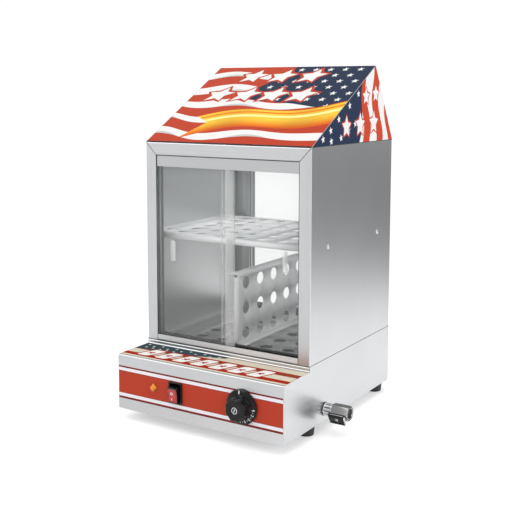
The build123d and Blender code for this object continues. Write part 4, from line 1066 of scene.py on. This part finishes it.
# ---------------------------------------------------------------- drain, feet, screws
class STEAMER_OT_drain(Builder, bpy.types.Operator):
    """Drain pipe, fluted socket, hexagonal valve body, lever and outlet"""

    bl_idname = "steamer.drain"
    bl_label = "Drain Valve"

    def build(self):
        along = axes(VALVE, (0, 1, 0), (0, 0, 1))
        self.pipe(along)
        self.socket(along)
        self.body(along)
        self.outlet(along)
        self.lever(self.stem())

    def pipe(self, along):
        """Thin washer on the base and a straight pipe from the tank to the valve."""
        washer = [(8.4, 0.0), (10.1, 0.0), (10.4, 0.3), (10.3, 0.9), (9.9, 1.2), (8.4, 1.3)]
        ring = moved(along, revolved(washer + washer[:1], 64))
        make_piece("stub_washer", ring, "cabinet", "rubber", "washer_grey", ["drain_washer"])
        tube = [(5.5, -39.0), (8.2, -39.0), (8.2, 19.5), (5.5, 19.5)]
        pipe = moved(along, revolved(tube + tube[:1], 64))
        make_piece("stub_tube", pipe, "cabinet", "chrome", "chrome_fitting", ["drain_pipe"])

    def socket(self, along):
        """Socket with ten narrow grooves along its length, and a dark strip on the floor of each that paints
        its shade.
        """
        count, start, end = 10, 2.4, 13.6
        pitch = 2 * math.pi / count

        def grooves(t, w):
            """Share of the radius: 1 - 0.2 exp(-(a / 0.1)^2) at an angle a from the middle of a groove."""
            away = (t + pitch / 2) % pitch - pitch / 2
            return 1 - 0.2 * np.exp(-((away / 0.1) ** 2)) * ((w > start) & (w < end))

        profile = [
            (8.3, 1.7), (9.4, 1.7), (9.9, 2.2), (9.9, 3.0), (9.75, 3.6),
            (9.75, 12.4), (9.9, 13.0), (9.9, 14.2), (9.6, 15.2), (8.3, 15.2),
        ]
        ring = moved(along, revolved(profile + profile[:1], 240, grooves))
        make_piece("valve_socket", ring, "cabinet", "chrome", "chrome_fitting", smooth=40)
        # painted shade: a dark strip on the floor of each groove stands in for the shade there
        strip = prism([(2.6, -0.75), (13.4, -0.75), (13.4, 0.75), (2.6, 0.75)], 0.0, 0.35)
        shade_strips = []
        for turn in np.arange(count) * pitch:
            out = np.array([0, math.cos(turn), math.sin(turn)])
            to_part = axes(np.array(VALVE) + out * 8.6, (1, 0, 0), np.cross(out, (1, 0, 0)))
            shade_strips.append(moved(to_part, strip))
        make_piece("valve_socket_flute_shade", joined(*shade_strips), "cabinet", "chrome", "flute_grey", smooth=0)

    def body(self, along):
        """Hexagon bar, r = 10.5 / cos(t mod 60 - 30 degrees), coned at its ends and bored for the outlet."""
        n, bore = 96, 8.3
        t = np.arange(n) * 2 * math.pi / n
        flats = 10.5 / np.cos(t % (math.pi / 3) - math.pi / 6)
        w = np.array([15.0, 15.0, 15.8, 17.0, 41.4, 42.6, 43.0, 43.0, 42.5, 35.4, 35.2, 35.2])
        limit = np.array([bore, 10.4, 11.4, 99, 99, 11.3, 10.7, 8.4, 7.9, 7.9, 4.5, 0.01])
        radius = np.minimum(flats[None, :], limit[:, None])
        rings = [radius * np.cos(t), radius * np.sin(t), np.repeat(w[:, None], n, axis=1)]
        points = np.stack(rings, axis=2).reshape(-1, 3)
        seat = np.c_[circle(bore, n), np.full(n, 19.6)]
        outside = points, grid_faces(len(w), n, close_columns=True)
        inside = np.concatenate([seat, points[:n]]), grid_faces(2, n, close_columns=True)
        rows, faces = joined(outside, inside)
        bar = along(rows), faces + [list(range(len(points), len(points) + n))]
        nickel = "nickel_body"
        make_piece("valve_hexagon", bar, "cabinet", "nickel", nickel, ["valve_body"], smooth=25, bevel=0.6)

    def outlet(self, along):
        """Turned lining of the outlet, and the plug inside it in a darker grey that paints the shade deep in
        the bore.
        """
        lining = [
            (7.5, 35.6), (7.5, 42.4), (8.0, 43.0), (10.0, 43.0),
            (10.4, 42.8), (10.4, 42.5), (7.9, 42.2), (7.85, 35.6),
        ]
        rim = moved(along, revolved(lining + lining[:1], 72))
        make_piece("valve_outlet_rim", rim, "cabinet", "nickel", "nickel_body")
        # painted shade: the plug's disc is darker than the metal round it, for the shade deep in the bore
        plug = moved(along, prism(circle(7.4, 48), 35.3, 35.5))
        make_piece("valve_outlet_plug_shade", plug, "cabinet", "nickel", "outlet_grey", smooth=0)

    def stem(self):
        """Axes of the stem: w points forwards and 30 degrees down."""
        low, high = part_box("lever_screw")
        lean = math.radians(30)
        centre = ((low[0] + high[0]) / 2, VALVE[1], VALVE[2])
        return axes(centre, (1, 0, 0), (0, -math.sin(lean), math.cos(lean)))

    def lever(self, stem):
        """Packing nut, polished plate, rounded black cover with a turned-back edge, and a domed screw."""
        nut = moved(stem, prism(circle(4.6, 6, start=math.pi / 6), 9.5, 12.6))
        make_piece("valve_packing_nut", nut, "cabinet", "nickel", "nickel_body", bevel=0.3)
        plate = boxes_stack([
            (13.5, 7.8, 3.4, 0, 0, 13.2),
            (13.75, 8.0, 3.6, 0, 0, 13.5),
            (13.75, 8.0, 3.6, 0, 0, 14.5),
            (13.3, 7.6, 3.3, 0, 0, 14.9),
        ])
        lower = boxes_stack([
            (13.6, 0.4, 0.3, 0, -7.5, 14.0),
            (13.6, 0.45, 0.3, 0, -7.5, 17.2),
            (13.3, 0.3, 0.2, 0, -7.5, 17.6),
        ])
        right = boxes_stack([
            (0.4, 7.4, 0.3, 13.3, 0, 14.0),
            (0.4, 7.4, 0.3, 13.3, 0, 16.8),
            (0.3, 7.2, 0.2, 13.3, 0, 17.2),
        ])
        bright = moved(stem, joined(plate, lower, right))
        make_piece("lever_plate", bright, "drain_handle", "chrome", "lever_steel", ["valve_lever"])
        cover = boxes_stack([
            (12.7, 7.0, 3.0, -0.6, 0.7, 14.7),
            (12.8, 7.1, 3.0, -0.6, 0.7, 15.4),
            (12.4, 6.7, 2.8, -0.6, 0.7, 15.95),
            (11.7, 6.0, 2.4, -0.6, 0.7, 16.2),
        ])
        flange = boxes_stack([
            (12.2, 0.7, 0.5, -0.4, 7.1, 11.1),
            (12.6, 0.8, 0.6, -0.4, 7.1, 11.5),
            (12.6, 0.8, 0.6, -0.4, 7.1, 15.2),
        ])
        black = moved(stem, joined(cover, flange))
        make_piece("lever_cover", black, "drain_handle", "black_switch", "lever_black")
        points, faces = screw_head(3.0, 1.5)
        head = stem(points + [0, 0, 16.15]), faces
        steel = "screw_steel"
        make_piece("lever_screw_head", head, "drain_handle", steel, "nickel_body", ["lever_screw"], smooth=35)


def screw_head(radius, height, count=48, rings=14):
    """Domed head, w = height (1 - (r / R)^2)^0.5, with a cross recess where |u| or |v| is small."""
    r = np.concatenate([np.linspace(0, 0.62, rings), np.linspace(0.66, 1, 8)]) * radius
    t = np.arange(count) * 2 * math.pi / count
    u, v = r[:, None] * np.cos(t), r[:, None] * np.sin(t)
    dome = height * np.sqrt(np.clip(1 - (r / radius) ** 2, 0, 1))[:, None] + 0 * u
    cross = (np.minimum(np.abs(u), np.abs(v)) < radius * 0.13) & (r[:, None] < radius * 0.55)
    w = np.where(cross, dome - height * 0.55, dome)
    points = np.stack([u, v, w], axis=2).reshape(-1, 3)
    faces = grid_faces(len(r), count, close_columns=True).tolist()
    return points, faces + [list(range((len(r) - 1) * count, len(r) * count))[::-1]]


class STEAMER_OT_fittings(Builder, bpy.types.Operator):
    """Feet, side screws and the cable gland"""

    bl_idname = "steamer.fittings"
    bl_label = "Feet, Screws and Gland"

    def build(self):
        self.feet()
        self.side_screws()
        self.gland()

    def feet(self):
        """Four turned cones, hollow underneath."""
        profile = [
            (0, 6.0), (5.0, 6.0), (5.0, 0.6), (5.4, 0.1), (11.0, 0.05), (12.0, 0.6),
            (12.3, 1.6), (13.9, 15.8), (14.5, 16.6), (14.5, 17.6), (14.2, 17.95), (0, 17.95),
        ]
        points, faces = revolved(profile, 64)
        feet = joined(*((points + [x, y, 0], faces) for x in (-FOOT_X, FOOT_X) for y in FOOT_Y))
        make_piece("foot_cones", feet, "cabinet", "rubber", "foot_rubber", ["rubber_feet"], smooth=35)

    def side_screws(self):
        """Domed heads on the cabinet's sides, each with a shank through the sheet."""
        screw = joined(screw_head(4.0, 2.5), prism(circle(1.9, 24), -6.3, 0.05))
        spots = [(hand, y) for hand in (-1, 1) for y in SCREW_Y]
        screws = [moved(axes((hand * HALF, y, SCREW_Z), (0, hand, 0), (0, 0, 1)), screw) for hand, y in spots]
        steel = "screw_steel"
        make_piece("side_screws", joined(*screws), "cabinet", steel, steel, ["shelf_screws"], smooth=40)

    def gland(self):
        """Hexagon collar and nut, and a ribbed dome bored for the cord."""
        low, high = part_box("cable_gland")
        at = axes(((low[0] + high[0]) / 2, CAB_D, (low[2] + high[2]) / 2), (-1, 0, 0), (0, 0, 1))

        def ribs(t, w):
            """Share of the radius: 1 - 0.05 (0.5 + 0.5 cos 18 t) along the grip."""
            return 1 - 0.05 * (0.5 + 0.5 * np.cos(18 * t)) * ((w > 4.2) & (w < 11.5))

        profile = [
            (3.5, -6.0), (3.5, 15.9), (4.6, 16.0), (5.6, 15.4), (6.6, 13.6), (7.3, 11.6),
            (7.5, 11.2), (7.5, 4.4), (7.2, 3.9), (6.9, 3.9), (6.9, -6.0), (3.5, -6.0),
        ]
        dome = moved(at, revolved(profile, 108, ribs))
        black = "gasket_black"
        make_piece("gland_dome", dome, "cabinet", "black_gasket", black, ["cable_gland"], smooth=35)
        collars = joined(prism(circle(8.9, 6), 0.0, 3.9), prism(circle(8.9, 6), -6.0, -1.05))
        make_piece("gland_collars", moved(at, collars), "cabinet", "black_gasket", black, bevel=0.4)


# ---------------------------------------------------------------- printed films
def band(low, high, u):
    """Closed outline between two curves over the same u values."""
    return np.concatenate([np.c_[u, low], np.c_[u, high][::-1]])


def upright_band(near, far, v):
    """Closed outline between two curves over the same v values."""
    return np.concatenate([np.c_[near, v], np.c_[far, v][::-1]])


def shrunk_triangle(corners, margin):
    """Corners moved towards the incentre, by the share that draws every side in by the margin."""
    sides = np.linalg.norm(np.roll(corners, -1, axis=0) - np.roll(corners, 1, axis=0), axis=1)
    centre = (corners * sides[:, None]).sum(0) / sides.sum()
    a, b = corners[1] - corners[0], corners[2] - corners[0]
    inner_radius = abs(a[0] * b[1] - a[1] * b[0]) / sides.sum()
    return centre + (corners - centre) * (1 - margin / inner_radius)


def well_inside(outline, spot, margin):
    """True where a spot lies inside an outline and farther than a margin from each of its sides."""
    x, y = spot
    a, b = outline, np.roll(outline, -1, axis=0)
    straddled = (a[:, 1] > y) != (b[:, 1] > y)
    meets = (b[:, 0] - a[:, 0]) * (y - a[:, 1]) / (b[:, 1] - a[:, 1] + 1e-9) + a[:, 0]
    crossings = (straddled & (x < meets)).sum()
    share = np.clip(((np.array(spot) - a) * (b - a)).sum(1) / ((b - a) ** 2).sum(1).clip(1e-9), 0, 1)
    gap = np.linalg.norm(a + share[:, None] * (b - a) - spot, axis=1).min()
    return bool(crossings % 2) and gap > margin


def painted_light_paler(ink, factor):
    """Ink with each channel times a factor, at most 0.94, which paints extra light into an ink."""
    return tuple(min(0.94, channel * factor) for channel in ink)


class STEAMER_OT_sign(Builder, bpy.types.Operator):
    """Printed films of the sign: front slope and both gables"""

    bl_idname = "steamer.sign"
    bl_label = "Sign"

    def build(self):
        self.front()
        self.gable(-1, "left")
        self.gable(1, "right")

    def front(self):
        """Film on the slope: waved stripes, a star field, a ribbon and two rows of outlined stars."""
        inks, _, sizes = settings()
        slope, tall = math.atan2(RISE, RIDGE_Y), math.hypot(RIDGE_Y, RISE)
        at = axes((0, 0, Z_TOP), (1, 0, 0), (0, math.cos(slope), math.sin(slope)))
        wide = HALF - 0.9
        shapes = [(level_band(wide, 3.0, tall - 0.5), inks.sign_white)]
        shapes += self.stripes(inks)
        shapes += self.star_field(inks, sizes.star_pitch / MM, wide - 6, tall - 8)
        shapes += self.ribbon(inks)
        for count, start, step, v, size in ((3, -62, 56, 212, 23), (4, -96, 52, 150, 24)):
            for n in range(count):
                spot = (start + n * step, v)
                shapes.append((star(size + 6.5, spot, lean=0.34, inner=0.58, stretch=1.06), inks.sign_red))
                shapes.append((star(size, spot, lean=0.34, inner=0.5, stretch=1.06), inks.sign_white))
        film("sign_front_film", shapes, at, "sign_film", sizes.sign_film / MM)

    def stripes(self, inks):
        """Red between two waves of v + 7.5 sin(u/26 + v/38) + 3 sin(u/47 - v/60), with grey folds above."""
        u = np.linspace(-160, 160, 81)
        shapes = []

        def wave(v):
            """Curve that leaves the height v less and less towards the right."""
            swing = 7.5 * np.sin(u / 26.0 + v / 38.0) + 3.0 * np.sin(u / 47.0 - v / 60.0)
            return v + swing * np.clip(1.1 - (u + 150) / 420, 0.2, 1)

        for k in range(6):
            v = -8.0 + k * 46.0
            lower, upper = wave(v), wave(v + 27.0 + 3.0 * math.sin(k * 1.7))
            fold = np.clip(np.sin(u / 26.0 + v / 38.0 + 0.9), 0, 1)
            shapes.append((band(lower, upper, u), inks.sign_red))
            shapes.append((band(upper - 0.2, upper + 5.5 * fold, u), tone(196, 198, 196)))
        return shapes

    def star_field(self, inks, pitch, right, top):
        """Navy field with a bent lower edge, and small stars in staggered rows wherever they fit."""
        edge_u = [10, 4, -10, -28, -48, -40, -16, 18, 60, 104, 160, 170, 170, 10]
        edge_v = [260, 232, 204, 180, 158, 140, 132, 128, 122, 112, 100, 100, 260, 260]
        field = np.stack([edge_u, edge_v], axis=1).astype(float)
        shapes = [(field, inks.navy)]
        for row in range(-1, 7):
            for column in range(-2, 7):
                u = 22 + pitch * column + (row % 2) * pitch / 2 - row * 3.0
                v = 136 + row * pitch * 0.72
                if well_inside(field, (u, v), 7.0) and abs(u) < right and v < top:
                    shapes.append((star(6.6, (u, v), lean=0.1, turn=0.2), inks.sign_white))
        return shapes

    def ribbon(self, inks):
        """Waving ribbon with a notched end: v = 46 + 62 s + 13 sin 2 pi s, plus a share of its half width."""
        start, run, notch = -98.0, 262.0, 0.11
        gold, orange = np.array(inks.gold), np.array(inks.orange)
        shapes = []

        def edge(share):
            """Curve at a share of the half width, from the notched end to the other."""
            s = np.linspace(notch * (1 - abs(share)), 1, 61)
            spine = 46 + 62 * s + 13 * np.sin(2 * math.pi * s)
            half = 30 + 4 * np.cos(2 * math.pi * s)
            return np.stack([start + run * s, spine + share * half], axis=1)

        def strand(low, high, ink):
            """Stripe along the ribbon between two shares of its half width."""
            notched = [edge(0.0)[:1]] if low < 0 < high else []
            shapes.append((np.concatenate([edge(low), edge(high)[::-1], *notched]), ink))

        def lit(ink):
            """Ink that is darker in the ribbon's hollows: ink (0.88 + 0.12 cos of the wave)."""
            return lambda rows: ink * (0.88 + 0.12 * np.cos((rows[:, :1] - start) / run * 4 * math.pi))

        strand(-1.0, 1.0, tone(206, 84, 20))
        for k, share in enumerate((0.0, 0.35, 0.7, 1.0)):
            strand(-0.9 + 0.22 * k, 0.92, lit(orange * (1 - share) + gold * share))
        strand(0.12, 0.36, tone(255, 236, 150))
        strand(0.56, 0.7, orange)
        return shapes

    def gable(self, hand, side):
        """Triangle with a navy field in front, waved stripes behind and outlined stars, in inks paled to
        paint light.
        """
        inks, _, sizes = settings()
        # painted light: the gables' inks are paled by 1.4 so that the sides look as brightly lit as the front
        # slope
        red, white, navy = (painted_light_paler(ink, 1.4) for ink in (inks.sign_red, inks.sign_white, inks.navy))
        at = axes((hand * HALF, 0, Z_TOP), (0, hand, 0), (0, 0, 1))
        shapes = [(shrunk_triangle(np.array([(0.0, 0.0), (CAB_D, 0.0), (RIDGE_Y, RISE)]), 0.5), white)]
        v = np.linspace(-5, 130, 41)
        for k in range(4):
            near = 168 + 46.0 * k + 7 * np.sin(v / 17.0 + k) - 0.12 * v
            shapes.append((upright_band(near, near + 24.0, v), red))
        edge = 150 + 9 * np.sin(v / 21.0 + 0.6) + 0.25 * v
        shapes.append((upright_band(np.full(len(v), -10.0), edge, v), navy))
        small = (
            (34, 10), (58, 22), (92, 10), (84, 38), (120, 58),
            (60, 6), (140, 30), (150, 76), (118, 20), (168, 90),
        )
        for u0, v0 in small:
            if v0 + 7 < u0 * RISE / RIDGE_Y and u0 < 150 + 0.25 * v0 - 4:
                shapes.append((star(6.2, (u0, v0), turn=0.2), white))
        for u0, v0, size in ((110, 26, 17), (158, 28, 19), (208, 30, 19), (178, 72, 14), (214, 76, 14)):
            shapes.append((star(size + 3.6, (u0, v0), inner=0.56, stretch=0.9), red))
            shapes.append((star(size, (u0, v0), inner=0.5, stretch=0.9), white))
        shapes = [(outline * [hand, 1], ink) for outline, ink in shapes]
        film(f"sign_gable_film_{side}", shapes, at, "sign_film", sizes.sign_film / MM)


class STEAMER_OT_panels(Builder, bpy.types.Operator):
    """Printed films of the control panel and the step"""

    bl_idname = "steamer.panels"
    bl_label = "Control Panel and Step"

    def build(self):
        self.front()
        self.step()

    def front(self):
        """Level stripes: dark line, white, dark line round a red field, cut out round the controls."""
        inks, _, sizes = settings()
        at = axes((0, Y_PANEL, Z_BASE), (1, 0, 0), (0, 0, 1))
        wide = HALF - 1.2
        shapes = [
            (level_band(wide, 17.0, 69.0), inks.line_red),
            (level_band(wide, 20.4, 66.5), tone(236, 232, 236)),
            (level_band(wide, 25.6, 61.4), inks.line_red),
            (level_band(wide, 26.3, 60.6), inks.panel_red),
        ]
        lamp, switch, dial = (np.array(spot) - [0, Z_BASE] for spot in (LAMP, SWITCH, DIAL))
        holes = [circle(5.3, 32, lamp), rounded_box(23.6, 32.0, 1.0) + switch, circle(5.4, 32, dial)]
        film("control_panel_film", shapes, at, "panel_film", sizes.panel_film / MM, holes)

    def step(self):
        """Stripes along the step, a slate strip with stars at the back left and a row of leaned stars."""
        inks, _, sizes = settings()
        at = axes((0, 0, Z_STEP), (1, 0, 0), (0, 1, 0))
        wide, front, back = HALF - 1.0, -73.1, -0.6
        red, silver = tone(168, 48, 34), tone(214, 216, 210)
        strip = [(-wide, -34.0), (-92, -29.0), (-40, -22.0), (8, -9.0), (12, back), (-wide, back)]
        shapes = [
            (level_band(wide, front, back), inks.cream),
            (level_band(wide, -3.2, back), tone(104, 44, 30)),
            (level_band(wide, -36, -22), tone(150, 66, 46)),
            (level_band(wide, -66, -54), red),
            (level_band(wide, front, -71.9), tone(112, 134, 128)),
            (np.array(strip), inks.slate),
        ]
        for n in range(11):
            shapes.append((star(3.6, (-140 + 13.6 * n, -8.0 - 6.5 * (n % 2)), turn=0.3), silver))
        for n in range(5):
            shapes.append((star(3.4, (-136 + 13.6 * n, -22.0), turn=0.3), silver))
        tile = rounded_box(21.0, 33.0, 4.0)
        tile[:, 0] += 0.42 * tile[:, 1]
        for n in range(7):
            spot = np.array([-108 + 33.5 * n, -43.5])
            shapes.append((tile * [1.32, 1.22] + spot, red))
            shapes.append((tile + spot, tone(244, 242, 238)))
            shapes.append((star(7.2, spot, lean=0.42), red))
        film("step_film_sheet", shapes, at, "step_film", sizes.panel_film / MM)


# ---------------------------------------------------------------- studio
BEHIND = (0.53, 0.85, 0.0)  # level way from the camera past the steamer

LIGHTS = (  # name, place, aim, width in metres, power in watts
    ("soft_front_left", (-1.9, -2.3, 1.9), (0, 0, 0.25), 2.4, 34.0),
    ("soft_top", (0.3, -0.2, 2.6), (0, 0, 0.2), 2.4, 24.0),
    ("soft_right", (2.6, -0.9, 1.1), (0, 0, 0.3), 1.2, 16.0),
    ("soft_upper_bay", (-0.105, 0.05, 0.42), (-0.09, 0.05, 0.1), 0.12, 0.22),
    ("soft_right_bay", (0.07, 0.04, 0.272), (0.04, 0.04, 0.1), 0.12, 0.07),
)


def share_behind(tree, way):
    """How far a place or a direction lies behind the steamer: its scalar product with BEHIND."""
    return shader_node(tree, "VectorMath", operation="DOT_PRODUCT", i0=way, i1=BEHIND).outputs["Value"]


def mixed(tree, factor, first, second):
    """Two shaders mixed by a factor: the second one where it is 1."""
    return shader_node(tree, "MixShader", i0=factor, i1=first, i2=second).outputs[0]


class STEAMER_OT_stage(Builder, bpy.types.Operator):
    """White studio: floor, soft lights, world and camera"""

    bl_idname = "steamer.stage"
    bl_label = "Studio"

    def build(self):
        self.floor()
        self.world()
        self.lights()
        self.camera()
        bpy.context.scene.view_settings.view_transform = "Standard"

    def floor(self):
        """White floor; mirrored, it glows close behind the steamer and is dim far off."""
        half = 8.0
        mesh = bpy.data.meshes.new("studio_floor")
        corners = [(-half, -half, 0), (half, -half, 0), (half, half, 0), (-half, half, 0)]
        mesh.from_pydata(corners, [], [(0, 1, 2, 3)])
        floor = bpy.data.objects.new("studio_floor", mesh)
        bpy.context.scene.collection.objects.link(floor)
        material, tree, shader = new_material("floor_white")
        shader.inputs["Roughness"].default_value = 0.9
        shader.inputs["Specular IOR Level"].default_value = 0.0
        shader.inputs["Emission Color"].default_value = (1, 1, 1, 1)
        path = shader_node(tree, "LightPath").outputs
        spot = object_spot(tree)
        reach = shader_node(tree, "VectorMath", operation="LENGTH", i0=spot).outputs["Value"]
        behind = share_behind(tree, spot)
        far = mapped(tree, reach, 0.0, 1.0, 0.45, 1.0)
        dim = mapped(tree, behind, 0.0, 0.58, 0.75, 1.6)
        near = mapped(tree, behind, 0.0, 0.46, -0.3, 0.05)
        lost = self.chosen(tree, path, far, dim)
        left = maths(tree, "MULTIPLY_ADD", lost, -0.9, 0.9, clamp=True)
        lit = maths(tree, "SUBTRACT", near, dim, clamp=True)
        glow = self.chosen(tree, path, mapped(tree, far, 0.4, 1.04), lit)
        tree.links.new(grey(tree, left), shader.inputs["Base Color"])
        tree.links.new(glow, shader.inputs["Emission Strength"])
        mesh.materials.append(material)

    def chosen(self, tree, path, seen, mirrored):
        """The first value for rays from the camera, the second for mirrored rays, nothing for others."""
        first = maths(tree, "MULTIPLY", seen, path["Is Camera Ray"])
        second = maths(tree, "MULTIPLY", mirrored, path["Is Glossy Ray"])
        return maths(tree, "ADD", first, second)

    def world(self):
        """White where it is looked at; mirrored, paler in front on the left than behind on the right."""
        world = bpy.data.worlds.new("studio_world")
        bpy.context.scene.world = world
        world.use_nodes = True
        tree = world.node_tree
        tree.nodes.clear()
        path = shader_node(tree, "LightPath").outputs
        way = shader_node(tree, "TexCoord").outputs["Generated"]
        level = mapped(tree, share_behind(tree, way), 0.8, 0.49, -0.1, 0.75)
        plain = shader_node(tree, "Background", Color=(0.98, 0.99, 1.0, 1), Strength=0.62).outputs[0]
        seen = shader_node(tree, "Background", Color=(1, 1, 1, 1), Strength=1.03).outputs[0]
        mirrored = shader_node(tree, "Background", Color=(1, 1, 1, 1), Strength=level).outputs[0]
        looked_at = maths(tree, "MAXIMUM", path["Is Camera Ray"], path["Is Transmission Ray"])
        unseen = mixed(tree, path["Is Glossy Ray"], plain, mirrored)
        shader_node(tree, "OutputWorld", i0=mixed(tree, looked_at, unseen, seen))

    def lights(self):
        """Square soft lights; the camera doesn't see them, and mirrors show only the large ones."""
        for name, spot, aim, width, power in LIGHTS:
            light = bpy.data.lights.new(name, "AREA")
            light.shape, light.size, light.energy = "SQUARE", width, power
            lamp = bpy.data.objects.new(name, light)
            bpy.context.scene.collection.objects.link(lamp)
            lamp.location = spot
            lamp.visible_camera = False
            lamp.visible_glossy = width > 1.0
            lamp.rotation_euler = (Vector(aim) - Vector(spot)).to_track_quat("-Z", "Y").to_euler()

    def camera(self):
        """Camera on a sphere round its target: target + distance (sin a cos e, -cos a cos e, sin e)."""
        a, e, roll = math.radians(32.10), math.radians(6.42), math.radians(0.09)
        target, distance = Vector((0.02942, -0.0995, 0.35975)), 1.356
        data = bpy.data.cameras.new("studio_camera")
        camera = bpy.data.objects.new("studio_camera", data)
        bpy.context.scene.collection.objects.link(camera)
        away = Vector((math.sin(a) * math.cos(e), -math.cos(a) * math.cos(e), math.sin(e)))
        camera.location = target + away * distance
        facing = (-away).to_track_quat("-Z", "Y").to_matrix()
        camera.rotation_euler = (facing @ Matrix.Rotation(roll, 3, "Z")).to_euler()
        data.lens, data.sensor_width = 64.11, 36.0
        data.shift_x, data.shift_y = 0.0065, -0.119
        data.clip_end = 50
        bpy.context.scene.camera = camera


class STEAMER_PT_panel(bpy.types.Panel):
    """Lists the steps that dress the steamer"""

    bl_label = "Hot Dog Steamer"
    bl_idname = "STEAMER_PT_panel"
    bl_space_type = "VIEW_3D"
    bl_region_type = "UI"
    bl_category = "Steamer"

    def draw(self, context):
        """A button for each step, and a box with the properties of each group."""
        for step in STEPS:
            self.layout.operator(step.bl_idname)
        for group in settings():
            box = self.layout.box()
            for name in group.__annotations__:
                box.prop(group, name)


GROUPS = (STEAMER_PG_inks, STEAMER_PG_finish, STEAMER_PG_sizes)
STEPS = (
    STEAMER_OT_sheets,
    STEAMER_OT_stage,
    STEAMER_OT_seams,
    STEAMER_OT_interior,
    STEAMER_OT_doors,
    STEAMER_OT_knob,
    STEAMER_OT_switch,
    STEAMER_OT_drain,
    STEAMER_OT_fittings,
    STEAMER_OT_sign,
    STEAMER_OT_panels,
)


def register():
    """Make the classes known and give every scene the three groups of properties."""
    for cls in (*GROUPS, *STEPS, STEAMER_PT_panel):
        bpy.utils.register_class(cls)
    bpy.types.Scene.steamer_inks = bpy.props.PointerProperty(type=STEAMER_PG_inks)
    bpy.types.Scene.steamer_finish = bpy.props.PointerProperty(type=STEAMER_PG_finish)
    bpy.types.Scene.steamer_sizes = bpy.props.PointerProperty(type=STEAMER_PG_sizes)


def unregister():
    """Take back what register() did, in reverse."""
    for name in ("steamer_inks", "steamer_finish", "steamer_sizes"):
        delattr(bpy.types.Scene, name)
    for cls in (STEAMER_PT_panel, *reversed(STEPS), *reversed(GROUPS)):
        bpy.utils.unregister_class(cls)


def main():
    """Dress the steamer step by step."""
    register()
    for step in STEPS:
        getattr(bpy.ops.steamer, step.bl_idname.split(".")[1])()


if __name__ == "__main__":
    main()
